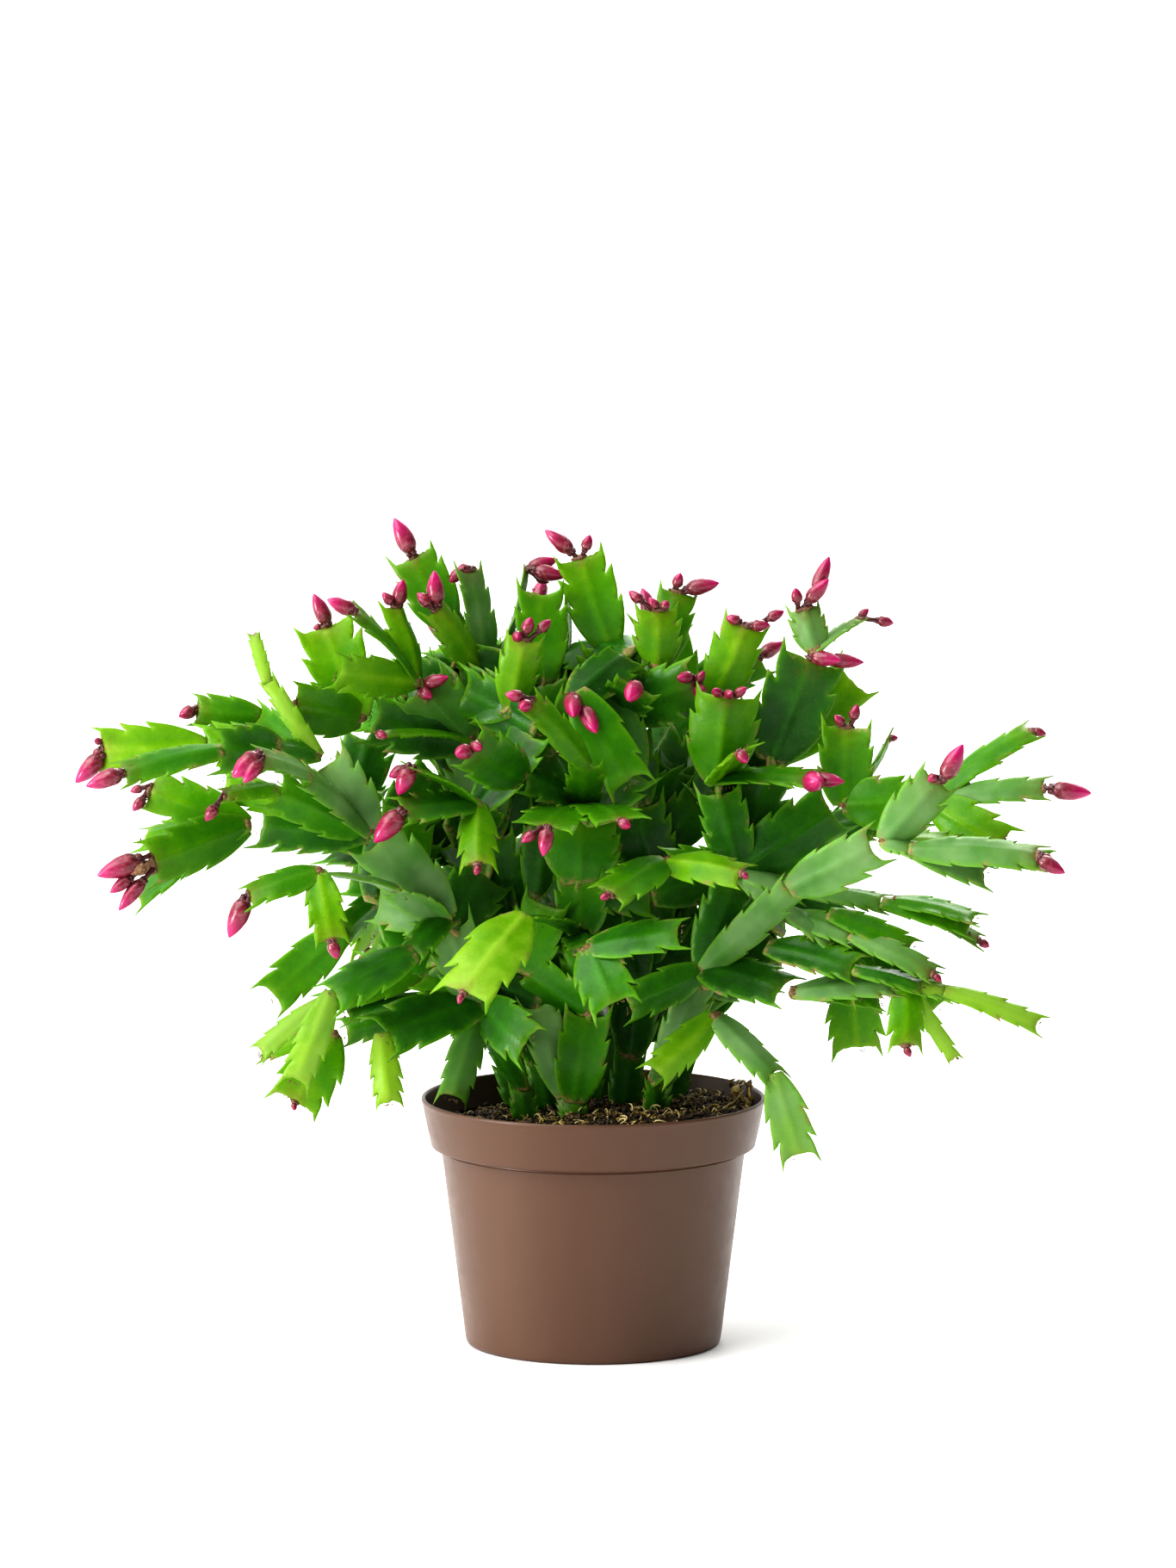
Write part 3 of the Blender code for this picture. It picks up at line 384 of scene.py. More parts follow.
# Segments that differ from the rest of their shoot: (piece, shoot, place in the shoot).
OWN_TONES = {
    ("front_fork", 2, 1): (0.88, 0.0),
    ("front_mid_fan", 1, 0): (0.48, 0.0),
    ("front_left_fan", 2, 0): (0.70, 0.0),
    ("front_hang", 0, 0): (0.31, 0.05),
    ("front_hang", 1, 0): (0.26, 0.05),
    ("right_fork", 3, 0): (0.28, 0.05),
    ("left_far_low", 0, 0): (0.50, 0.0),
    ("left_far_low", 1, 0): (0.60, 0.0),
    ("upper_left_fork", 0, 0): (0.40, 0.35),
    ("left_far_low", 2, 0): (0.55, 0.0),
    ("left_far_low", 3, 0): (0.32, 0.0),
    ("centre_fall", 0, 0): (0.44, 0.0),
    ("right_centre_fan", 0, 0): (0.58, 0.0),
    ("right_front_fan", 0, 0): (0.40, 0.9),
    ("right_fork", 1, 1): (0.36, 0.95),
    ("right_bottom_fan", 0, 1): (0.72, 1.0),
    ("right_bottom_fan", 1, 0): (0.76, 0.0),
    ("left_low_fork", 1, 1): (0.97, 0.0),
    ("left_low_fork", 2, 0): (0.42, 0.6),
    ("left_low_fork", 4, 2): (0.97, 0.45),
    ("left_mid_fork", 1, 2): (0.90, 0.4),
    ("rear_right_fork", 1, 3): (0.64, 0.0),
    ("centre_fan", 0, 0): (0.24, 0.1),
    ("top_right_fork", 0, 1): (0.60, 0.0),
}

# Further shoots that spring from a piece's joints: the piece, the foot, the green, and the joints as above.
SPRAYS = [
    ("right_hub", (7.2, -3.2, 17.0), "grey", [(9.0, -4.2, 15.9, 1.1, "UF")]),
    ("right_hub", (8.9, -4.0, 16.9), "mid", [(11.9, -4.6, 15.7, 1.1, "FU")]),
    ("right_low_fan", (8.8, -4.0, 15.8), "bright", [(10.1, -4.4, 13.9, 1.1, "F")]),
    ("right_low_fan", (9.2, -3.8, 15.7), "mid", [(12.7, -4.6, 14.5, 1.0, "FU")]),
    ("right_fork", (6.6, -3.8, 15.6), "dark", [(9.8, -5.2, 15.0, 1.5, "FU"),
                                               (12.3, -5.6, 14.4, 1.0, "UF")]),
    ("right_spray", (10.9, -3.2, 17.2), "mid", [(14.1, -3.8, 16.3, 0.9, "FU")]),
    ("right_low_tips", (10.9, -5.0, 14.4), "grey", [(13.4, -5.4, 14.1, 0.8, "UF")]),
    ("right_front_fan", (11.8, -6.6, 19.7), "grey", [(14.6, -6.4, 18.7, 1.3, "FU")]),
    ("right_front_fan", (13.2, -6.0, 19.5), "mid", [(16.9, -6.6, 19.3, 1.0, "FU")]),
    ("left_low_fork", (-6.4, -0.6, 13.3), "dark", [(-9.4, -1.0, 12.7, 1.1, "UF")]),
    ("left_top_fork", (-11.0, -3.0, 20.8), "bright", [(-13.9, -2.2, 21.6, 1.2, "F")]),
    ("stem_rear_right", (2.2, 1.6, 13.5), "dark", [(4.5, 1.8, 15.9, 2.1, "F"), (5.9, 1.6, 19.0, 2.0, "F")]),
    ("stem_rear_right", (2.0, 1.6, 11.6), "dark", [(4.4, 1.5, 13.3, 1.8, "F"),
                                                   (6.9, 1.0, 14.9, 1.9, "FU")]),
    ("stem_rear_right", (2.0, 1.6, 14.4), "dark", [(3.4, 2.6, 18.4, 2.4, "F")]),
    ("stem_rear_right", (1.6, 1.3, 13.6), "dark", [(0.7, 1.8, 17.3, 2.1, "F")]),
    ("rear_left_fork", (-3.7, 1.2, 19.2), "dark", [(-2.2, 1.7, 22.3, 2.3, "F")]),
    ("rear_right_fork", (2.2, 1.6, 18.0), "dark", [(3.4, 2.5, 21.6, 2.2, "F")]),
    ("rear_right_fork", (2.0, 1.5, 18.2), "dark", [(4.2, 1.9, 20.5, 1.9, "F"), (5.6, 1.7, 23.2, 1.8, "F")]),
]

# The flower buds that are CAD nodes: the shoot tip that bears each cluster.
BUD_NODES = {
    ("left_far_top", 0): "buds_left_far",
    ("left_far_top", 1): "buds_left_front",
    ("left_top_fork", 1): "buds_left_pair",
    ("left_far_low", 0): "buds_left_low",
    ("left_droop", 0): "bud_left_droop",
    ("left_wide_fan", 0): "buds_left_edge",
    ("top_rear_left_fan", 0): "buds_top_left",
    ("top_right_fork", 0): "buds_top_middle",
    ("top_right_fan", 1): "buds_top_right",
    ("right_tall_tips", 0): "buds_right_tall",
    ("right_far_fan", 1): "bud_right_far",
}

# Every cluster of buds: the shoot tip that bears it, and the (x, y, z) run of each bud from its foot to
# its point with its width, in centimetres.
BUDS = {
    ("left_far_top", 0): [(-0.9, -0.3, -1.05, 0.75), (-0.3, 0.1, -0.55, 0.45), (-0.2, -0.2, 0.1, 0.3)],
    ("left_far_top", 1): [(-1.3, -0.2, -0.5, 0.72)],
    ("left_far_top", 3): [(-0.6, -0.1, -0.25, 0.55)],
    ("left_top_fork", 1): [(-1.0, -0.3, -0.75, 0.85), (-0.5, -0.5, -0.8, 0.62)],
    ("left_top_fork", 2): [(-0.65, -0.1, -0.95, 0.5)],
    ("left_far_low", 0): [(-1.9, -0.4, -0.7, 0.85), (-1.3, -0.3, -1.5, 0.6), (-1.5, -0.35, -1.1, 0.5)],
    ("left_far_low", 1): [(-0.45, -0.2, -0.7, 0.45), (-0.7, 0.0, -0.2, 0.35)],
    ("left_droop", 0): [(-0.6, -0.1, -1.6, 0.8)],
    ("left_droop", 1): [(0.2, -0.2, -0.6, 0.5)],
    ("left_wide_fan", 0): [(-0.5, 0.0, 1.15, 0.65), (-0.3, 0.0, -0.1, 0.3)],
    ("left_wide_fan", 1): [(-0.35, 0.0, 0.05, 0.35)],
    ("left_low_tips", 0): [(0.0, -0.2, -0.25, 0.25)],
    ("top_left_fan", 0): [(-1.0, -0.1, 0.5, 0.65)],
    ("top_left_fan", 2): [(0.1, -0.1, 1.0, 0.6), (-0.4, -0.1, 0.5, 0.42)],
    ("top_rear_left_fan", 0): [(-0.6, 0.0, 1.45, 0.75)],
    ("top_rear_left_fan", 1): [(-0.25, 0.0, 1.25, 0.7), (-0.6, 0.0, 0.6, 0.5)],
    ("top_rear_left_fan", 2): [(-0.5, -0.1, -0.1, 0.48), (-0.6, -0.1, -0.5, 0.48),
                               (-0.4, -0.1, -1.0, 0.42)],
    ("top_rear_left_fan", 3): [(1.5, -0.2, -0.3, 0.65), (1.1, 0.1, 0.5, 0.6), (0.8, 0.0, -0.5, 0.4)],
    ("top_right_fork", 0): [(-1.1, 0.0, 1.1, 0.65), (0.3, -0.1, 0.75, 0.45)],
    ("top_right_fork", 2): [(-0.6, -0.5, 0.1, 0.5), (0.1, -0.6, 0.0, 0.55), (0.35, -0.1, 0.5, 0.4)],
    ("top_right_fork", 3): [(-0.3, -0.9, -0.3, 0.75)],
    ("top_right_fan", 0): [(-0.8, 0.0, 0.65, 0.45), (-0.3, -0.1, 0.4, 0.4), (0.1, -0.1, 0.3, 0.4)],
    ("top_right_fan", 1): [(1.4, -0.1, 0.4, 0.65), (0.2, -0.2, 0.65, 0.45)],
    ("upper_left_fork", 0): [(0.9, -0.4, 0.4, 0.55), (0.5, -0.5, -0.3, 0.5)],
    ("upper_left_fork", 2): [(0.3, -0.4, -0.1, 0.4)],
    ("front_left_fan", 0): [(-1.0, -0.2, -1.1, 0.9)],
    ("front_left_fan", 1): [(-0.5, -0.2, -1.0, 0.75), (-0.7, -0.1, -0.4, 0.5)],
    ("front_left_fan", 2): [(0.0, -0.2, -0.35, 0.35)],
    ("front_fork", 2): [(-0.2, -0.2, -0.3, 0.3)],
    ("front_mid_fan", 0): [(0.1, -0.2, -0.2, 0.28)],
    ("front_mid_fan", 1): [(-0.3, -0.3, -0.1, 0.35)],
    ("centre_fan", 1): [(-0.2, -0.4, -1.0, 0.62), (-0.7, -0.3, -0.5, 0.45)],
    ("centre_fan", 2): [(0.3, -0.4, -0.2, 0.45)],
    ("centre_fan", 3): [(-1.0, -0.2, 0.2, 0.5), (-0.3, -0.5, -0.1, 0.5)],
    ("centre_fan", 4): [(-0.5, -0.5, -0.1, 0.62), (0.35, -0.45, -0.1, 0.45)],
    ("centre_top_fork", 1): [(0.25, -0.2, 0.8, 0.5), (0.0, -0.45, 0.0, 0.45), (0.75, 0.1, 0.7, 0.45)],
    ("centre_top_fork", 3): [(0.1, -1.4, -0.6, 0.72), (0.7, -1.3, -1.2, 0.68)],
    ("right_tall", 0): [(1.2, -0.5, -0.1, 0.62), (1.8, -0.2, -0.1, 0.6)],
    ("right_tall_tips", 0): [(0.9, -0.2, 1.1, 0.6), (0.8, 0.3, 1.8, 0.6), (-0.1, -0.3, 0.8, 0.45)],
    ("right_tall_tips", 1): [(1.2, 0.0, -0.15, 0.45), (0.35, 0.0, 0.35, 0.35)],
    ("right_centre_fan", 0): [(-0.3, -0.4, 0.2, 0.4), (0.1, -0.5, 0.1, 0.4), (0.45, -0.3, 0.3, 0.4)],
    ("right_centre_fan", 1): [(-0.5, -0.1, 0.2, 0.45), (0.9, -0.2, -0.1, 0.5), (1.2, 0.0, 0.6, 0.45)],
    ("right_centre_fan", 2): [(0.3, -0.3, -0.4, 0.5)],
    ("right_centre_fan", 3): [(0.2, -1.0, 0.2, 0.85), (1.1, -0.6, 0.0, 0.6)],
    ("right_far_fork", 0): [(-0.35, -0.2, 0.4, 0.4), (0.25, -0.1, 0.8, 0.45)],
    ("right_far_fork", 2): [(0.3, 0.0, 0.1, 0.3)],
    ("right_far_fan", 0): [(0.5, 0.0, -0.2, 0.38)],
    ("right_far_fan", 1): [(1.7, 0.0, -0.25, 0.75)],
    ("right_far_fan", 2): [(-0.05, -0.1, -0.7, 0.4), (0.4, -0.1, -0.2, 0.4)],
    ("right_front_fan", 0): [(0.9, -0.1, 1.35, 0.75), (-0.3, -0.2, -0.1, 0.4)],
    ("right_front_fan", 1): [(0.5, 0.0, -0.5, 0.45), (0.9, -0.1, -0.6, 0.6)],
    ("right_front_fan", 2): [(0.2, -0.1, -0.3, 0.4), (0.75, -0.1, -0.8, 0.5)],
    ("right_hub", 4): [(0.3, -0.2, -0.2, 0.3)],
    ("right_spray", 1): [(0.35, -0.1, -0.2, 0.35)],
    ("right_low_tips", 1): [(0.15, -0.1, -0.35, 0.32)],
    ("back_left_fan", 0): [(-0.7, 0.3, 0.8, 0.6), (-0.1, 0.3, 0.7, 0.42)],
    ("back_left_fan", 1): [(0.3, 0.3, 1.2, 0.65)],
    ("back_left_fan", 2): [(-0.4, 0.8, -0.6, 0.5), (0.2, 0.6, -0.5, 0.4)],
    ("back_right_fan", 0): [(-0.4, 0.3, 1.1, 0.65), (0.4, 0.3, 0.6, 0.42)],
    ("back_right_fan", 1): [(0.9, 0.4, 0.5, 0.6)],
    ("back_right_fan", 2): [(0.5, 0.9, -0.6, 0.55)],
    ("back_left_low_fan", 0): [(-0.9, 0.3, 0.2, 0.6), (-0.5, 0.4, -0.4, 0.42)],
    ("back_left_low_fan", 1): [(-0.2, 0.5, -0.8, 0.5)],
    ("back_right_low_fan", 0): [(0.9, 0.4, 0.3, 0.6)],
    ("back_right_low_fan", 1): [(0.2, 0.5, -0.8, 0.5)],
    ("back_fork", 2): [(0.0, 0.8, -0.5, 0.55), (0.5, 0.5, -0.2, 0.4)],
}

WITHERED = ("left_far_low", 0)  # the tip that also bears last year's dried flowers


# ---- Materials -------------------------------------------------------------------------------------

class Nodes:
    """A material and short ways to make its nodes."""

    def __init__(self, name):
        self.material = bpy.data.materials.new(name)
        self.material.use_nodes = True
        self.tree = self.material.node_tree
        self.shader = self.tree.nodes["Principled BSDF"]
        self.output = self.tree.nodes["Material Output"]
        self.place = self.new("ShaderNodeTexCoord").outputs["Object"]

    def new(self, kind, sources=(), **settings):
        """A node with its settings, and a source for each of its sockets that needs one."""
        node = self.tree.nodes.new(kind)
        for key, setting in settings.items():
            setattr(node, key, setting)
        for key, source in dict(sources).items():
            self.join(source, node.inputs[key])
        return node

    def join(self, source, socket):
        """Link a socket, or set a number or a colour on it."""
        if isinstance(source, bpy.types.NodeSocket):
            self.tree.links.new(source, socket)
        else:
            socket.default_value = (*source, 1) if isinstance(source, tuple) else source

    def noise(self, size, detail=2.0, rough=0.5, stretch=(1, 1, 1)):
        """Noise from 0 to 1 whose lumps are about this size."""
        mapping = self.new("ShaderNodeMapping", {"Vector": self.place})
        mapping.inputs["Scale"].default_value = stretch
        place = mapping.outputs["Vector"]
        sources = {"Vector": place, "Scale": 1 / size, "Detail": detail, "Roughness": rough}
        return self.new("ShaderNodeTexNoise", sources).outputs["Fac"]

    def ramp(self, source, stops):
        node = self.new("ShaderNodeValToRGB", {"Fac": source})
        elements = node.color_ramp.elements
        while len(elements) < len(stops):
            elements.new(0.5)
        for element, (place, color) in zip(elements, stops):
            element.position = place
            element.color = (*color, 1)
        return node.outputs["Color"]

    def grade(self, source, low, high, start=0.0, end=1.0):
        """The source's range from low to high, moved to start to end and held there."""
        sources = {"Value": source, "From Min": low, "From Max": high, "To Min": start, "To Max": end}
        return self.new("ShaderNodeMapRange", sources).outputs["Result"]

    def math(self, operation, *sources, clamp=False):
        node = self.new("ShaderNodeMath", enumerate(sources), operation=operation, use_clamp=clamp)
        return node.outputs["Value"]

    def times(self, first, second):
        return self.math("MULTIPLY", first, second)

    def stir(self, source, mottle, most, clamp=False):
        """The source, moved up or down by noise."""
        return self.math("ADD", source, self.grade(mottle, 0.3, 0.7, -most, most), clamp=clamp)

    def mix(self, factor, first, second):
        node = self.new("ShaderNodeMix", data_type="RGBA")
        sockets = {socket.identifier: socket for socket in node.inputs}
        for key, source in (("Factor_Float", factor), ("A_Color", first), ("B_Color", second)):
            self.join(source, sockets[key])
        return next(socket for socket in node.outputs if socket.identifier == "Result_Color")

    def values(self, attribute):
        """The three numbers that a vector attribute holds."""
        node = self.new("ShaderNodeAttribute", attribute_name=attribute)
        return tuple(self.new("ShaderNodeSeparateXYZ", {0: node.outputs["Vector"]}).outputs)

    def bump(self, height, strength, distance):
        node = self.new("ShaderNodeBump", {"Height": height, "Strength": strength, "Distance": distance})
        self.join(node.outputs["Normal"], self.shader.inputs["Normal"])
        return node.outputs["Normal"]

    def paint(self, color, roughness, specular):
        sources = {"Base Color": color, "Roughness": roughness, "Specular IOR Level": specular}
        for key, source in sources.items():
            self.join(source, self.shader.inputs[key])


def leaf_material():
    """Living stem: old dark green to new yellow-green, with pale margins, a light midrib that is partly
    painted highlight, and a grey waxy bloom that is partly painted sheen.
    """
    m = Nodes("cactus_stem")
    age, rib, rim = m.values("growth")
    wax_and_sheen, blush, scar = m.values("weather")
    blotch = m.noise(9 * MM, 3.0, 0.55)
    fleck = m.noise(1.3 * MM, 2.0, 0.6)
    green = m.stir(m.stir(age, blotch, 0.09), fleck, 0.025)
    # The midrib is lighter: partly its own paler colour, partly a painted highlight along its ridge.
    green = m.math("ADD", green, m.times(rib, 0.20), clamp=True)
    color = m.ramp(green, [
        (0.00, (0.006, 0.052, 0.001)),
        (0.20, (0.016, 0.115, 0.002)),
        (0.42, (0.045, 0.215, 0.003)),
        (0.64, (0.092, 0.295, 0.002)),
        (0.84, (0.190, 0.410, 0.004)),
        (1.00, (0.320, 0.530, 0.040)),
    ])
    # Waxy bloom and painted sheen: a mottled grey-green lightening on the waxy segments that stands in for
    # their soft gloss as well as their wax.
    bloom = m.times(wax_and_sheen, m.grade(m.noise(13 * MM, 2.0), 0.32, 0.68, 0.35, 0.85))
    color = m.mix(bloom, color, (0.250, 0.410, 0.165))
    color = m.mix(m.times(rim, 0.55), color, (0.190, 0.430, 0.020))
    red = m.times(blush, m.grade(m.noise(2.2 * MM, 3.0), 0.3, 0.62))
    color = m.mix(m.times(red, 0.75), color, (0.190, 0.045, 0.022))
    cork = m.times(scar, m.grade(m.noise(1.6 * MM, 3.0), 0.42, 0.6))
    color = m.mix(cork, color, (0.400, 0.270, 0.130))
    cells = m.new("ShaderNodeTexVoronoi", {"Vector": m.place, "Scale": 1 / (3.4 * MM)})
    dot = m.grade(cells.outputs["Distance"], 0.10, 0.055, 0.0, 0.30)
    color = m.mix(dot, color, (0.250, 0.380, 0.110))
    gloss = m.grade(m.noise(4 * MM, 3.0), 0.3, 0.7, 0.24, 0.36)
    gloss = m.math("ADD", gloss, m.times(bloom, 0.14))
    gloss = m.math("ADD", gloss, m.times(cork, 0.35), clamp=True)
    m.paint(color, gloss, 0.26)
    skin = m.math("ADD", m.times(m.noise(0.8 * MM, 2.0), 0.35), m.noise(3.2 * MM, 2.0))
    normal = m.bump(skin, 0.35, 0.25 * MM)
    glow = m.ramp(green, [
        (0.0, (0.006, 0.070, 0.001)),
        (0.4, (0.080, 0.330, 0.002)),
        (0.7, (0.270, 0.560, 0.004)),
        (1.0, (0.540, 0.760, 0.060)),
    ])
    through = m.new("ShaderNodeBsdfTranslucent", {"Color": glow, "Normal": normal})
    share = m.grade(green, 0.15, 0.75, 0.08, 0.30)
    sources = {0: share, 1: m.shader.outputs["BSDF"], 2: through.outputs["BSDF"]}
    both = m.new("ShaderNodeMixShader", sources)
    m.join(both.outputs["Shader"], m.output.inputs["Surface"])
    return m.material


def cork_material():
    """The tan bark of old joints, and the felt and bristles at the areoles."""
    m = Nodes("corky_joint")
    grain = m.noise(1.1 * MM, 4.0, 0.65)
    color = m.ramp(grain, [
        (0.25, (0.060, 0.035, 0.018)),
        (0.50, (0.210, 0.135, 0.060)),
        (0.75, (0.440, 0.330, 0.190)),
    ])
    m.paint(color, 0.85, 0.2)
    m.bump(grain, 0.8, 0.4 * MM)
    return m.material


def bud_material():
    """Flower bud: brown-red bracts at the foot, magenta at the point."""
    m = Nodes("flower_bud")
    along, edge, dried = m.values("bloom")
    streak = m.noise(0.9 * MM, 3.0, 0.6)
    color = m.ramp(m.stir(along, streak, 0.10, clamp=True), [
        (0.00, (0.050, 0.010, 0.008)),
        (0.20, (0.150, 0.020, 0.026)),
        (0.45, (0.230, 0.018, 0.050)),
        (0.72, (0.370, 0.011, 0.100)),
        (1.00, (0.540, 0.016, 0.160)),
    ])
    color = m.mix(m.times(edge, 0.40), color, (0.620, 0.200, 0.260))
    old = m.ramp(streak, [(0.3, (0.100, 0.050, 0.025)), (0.7, (0.420, 0.240, 0.130))])
    color = m.mix(dried, color, old)
    m.paint(color, m.grade(dried, 0.0, 1.0, 0.24, 0.75), 0.6)
    m.bump(m.noise(0.6 * MM, 2.0), 0.25, 0.15 * MM)
    return m.material


def pot_material():
    """Brown moulded plastic with a satin face, and faint vertical streaks of painted reflection in its brown.
    """
    m = Nodes("brown_plastic")
    # Painted reflection: faint vertically stretched streaks in the brown.
    painted_streaks = m.noise(45 * MM, 3.0, 0.5, (1, 1, 0.5))
    color = m.ramp(painted_streaks, [(0.3, (0.102, 0.050, 0.028)), (0.7, (0.120, 0.060, 0.034))])
    dust = m.grade(m.noise(0.9 * MM, 3.0, 0.7), 0.58, 0.80, 0.0, 0.22)
    color = m.mix(dust, color, (0.180, 0.110, 0.075))
    gloss = m.grade(m.noise(7 * MM, 4.0, 0.6), 0.3, 0.7, 0.33, 0.43)
    m.paint(color, gloss, 0.45)
    m.bump(m.noise(0.45 * MM, 2.0), 0.12, 0.08 * MM)
    return m.material


def compost_material():
    """Moist peat, nearly black between brown crumbs."""
    m = Nodes("peat_compost")
    clod = m.noise(2.6 * MM, 5.0, 0.7)
    color = m.ramp(clod, [
        (0.30, (0.006, 0.004, 0.002)),
        (0.50, (0.028, 0.015, 0.007)),
        (0.66, (0.085, 0.047, 0.020)),
        (0.82, (0.210, 0.130, 0.058)),
    ])
    m.paint(color, m.grade(clod, 0.3, 0.8, 0.55, 0.95), 0.4)
    m.bump(clod, 1.0, 1.2 * MM)
    return m.material


def litter_material():
    """The loose bits on the compost: dark crumbs, tan fibres and pale granules, by each bit's own number."""
    m = Nodes("compost_litter")
    kind, _, _ = m.values("litter")
    grain = m.noise(0.7 * MM, 3.0, 0.65)
    color = m.ramp(m.stir(kind, grain, 0.12, clamp=True), [
        (0.00, (0.010, 0.006, 0.003)),
        (0.30, (0.060, 0.032, 0.014)),
        (0.55, (0.170, 0.098, 0.034)),
        (0.78, (0.480, 0.340, 0.085)),
        (1.00, (0.720, 0.580, 0.290)),
    ])
    m.paint(color, m.grade(grain, 0.3, 0.7, 0.35, 0.8), 0.5)
    m.bump(grain, 0.6, 0.3 * MM)
    return m.material


# ---- Meshes ----------------------------------------------------------------------------------------

def put(name, data):
    """A new object in the scene."""
    thing = bpy.data.objects.new(name, data)
    bpy.context.scene.collection.objects.link(thing)
    return thing


def turn_outwards(mesh):
    """Turn the faces of a closed mesh to its outside."""
    bm = bmesh.new()
    bm.from_mesh(mesh)
    bmesh.ops.recalc_face_normals(bm, faces=bm.faces)
    bm.to_mesh(mesh)
    bm.free()


def drawn(rng, *ranges):
    """A vector with each of its numbers drawn from its own range."""
    return Vector([rng.uniform(low, high) for low, high in ranges])


def sleeve(rings, sides):
    """The faces between rings of points."""
    faces = []
    for i in range(rings - 1):
        row, above = i * sides, (i + 1) * sides
        for k in range(sides):
            after = (k + 1) % sides
            faces.append((row + k, row + after, above + after, above + k))
    return faces


class Shape:
    """The vertices and faces of one piece, with three numbers a vertex for each of its attributes."""

    def __init__(self, *attributes):
        self.points, self.faces, self.slots = [], [], []
        self.values = {name: [] for name in attributes}
        self.count = 0

    def add(self, points, faces, slot=0, **values):
        points = np.asarray(points, float)
        self.points.append(points)
        self.faces += [tuple(int(i) + self.count for i in face) for face in faces]
        self.slots += [slot] * len(faces)
        for name, held in self.values.items():
            held.append(np.broadcast_to(np.asarray(values.get(name, (0, 0, 0)), float), (len(points), 3)))
        self.count += len(points)

    def finish(self, name, materials, finish, nodes):
        """The piece itself, smooth, closed, and riding with the object."""
        mesh = bpy.data.meshes.new(name)
        mesh.from_pydata(np.concatenate(self.points).tolist(), [], self.faces)
        for attribute, held in self.values.items():
            layer = mesh.attributes.new(attribute, "FLOAT_VECTOR", "POINT")
            layer.data.foreach_set("vector", np.concatenate(held).astype(np.float32).ravel())
        mesh.polygons.foreach_set("material_index", self.slots)
        turn_outwards(mesh)
        mesh.shade_smooth()
        for material in materials:
            mesh.materials.append(material)
        settle(put(name, mesh), nodes)


def settle(piece, nodes):
    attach(piece, "root")
    if nodes:
        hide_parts(*nodes)


def tube(shape, line, radii, sides, slot=0, **values):
    """A closed tube along a line of points, with a radius at each."""
    line = [Vector(point) for point in line]
    points = []
    side = None
    for i, point in enumerate(line):
        ahead = (line[min(i + 1, len(line) - 1)] - line[max(i - 1, 0)]).normalized()
        if side is None:
            side = ahead.orthogonal().normalized()
        side = (side - side.dot(ahead) * ahead).normalized()
        other = ahead.cross(side)
        for k in range(sides):
            angle = 2 * math.pi * k / sides
            points.append(point + radii[i] * (math.cos(angle) * side + math.sin(angle) * other))
    faces = sleeve(len(line), sides)
    faces.append(tuple(range(sides)))
    faces.append(tuple(range(len(points) - 1, len(points) - 1 - sides, -1)))
    shape.add(points, faces, slot, **values)


def ball(detail):
    """The points and faces of a round ball of radius 1."""
    bm = bmesh.new()
    bmesh.ops.create_icosphere(bm, subdivisions=detail, radius=1)
    points = np.array([v.co for v in bm.verts])
    faces = [tuple(v.index for v in face.verts) for face in bm.faces]
    bm.free()
    return points, faces


def lump(shape, form, centre, axes, rough, slot=0, **values):
    """A lumpy ball whose three half-axes are given as vectors."""
    points, faces = form
    turn = np.array([list(axis) for axis in axes])
    seed = Vector(centre) * 900
    scale = np.array([1 + rough * noise.noise(Vector(p) * 1.7 + seed) for p in points])
    shape.add((points * scale[:, None]) @ turn + np.array(centre), faces, slot, **values)


# ---- Stem segments ---------------------------------------------------------------------------------

class Segment:
    """One flat segment between two joints, as part.py places it."""

    def __init__(self, start, end, width, facing, before=None):
        self.start, self.end, self.width = start, end, width
        self.length = (end - start).length
        self.along = (end - start).normalized()
        out = Vector(FACING[facing])
        out = (out - out.dot(self.along) * self.along).normalized()
        if before is not None and out.dot(before.out) < 0:
            out = -out
        self.out = out
        self.across = self.along.cross(out)


def segments_of(start, joints):
    found = []
    for x, y, z, width, facing in joints:
        end = Vector((x, y, z)) * CM
        found.append(Segment(start, end, width * CM, facing, found[-1] if found else None))
        start = end
    return found


def reach(segments, axis):
    """How far the foot of a piece stands out along an axis from its middle."""
    if len(segments) > 1:
        return KNUCKLE_RADIUS + GAP
    first = segments[0]
    return abs(first.across.dot(axis)) * NECK_WIDTH / 2 + abs(first.out.dot(axis)) * THICKNESS / 2


def place_piece(base, shoots, tips):
    if isinstance(base[0], str):
        carrier = tips[base]
        first = [segments_of(carrier.end, joints)[0] for _, joints in shoots]
        start = carrier.end + carrier.along * (GAP + reach(first, carrier.along))
    else:
        start = Vector(base) * CM
    return [segments_of(start, joints) for _, joints in shoots]


WIDEST = 0.52  # how far along a segment it is widest
SLIM = 2.3  # how many times its width a segment is long when it has three teeth on each side
FEW_TEETH = (0.46, 0.74)
MORE_TEETH = (0.36, 0.59, 0.81)


def swell(part, neck):
    """A segment's half-width without its teeth, as a part of the widest, at a place along it."""
    if part < WIDEST:
        return neck + (1 - neck) * math.sin(math.pi / 2 * (part / WIDEST) ** 0.86)
    return 1 - 0.13 * ((part - WIDEST) / 0.48) ** 2


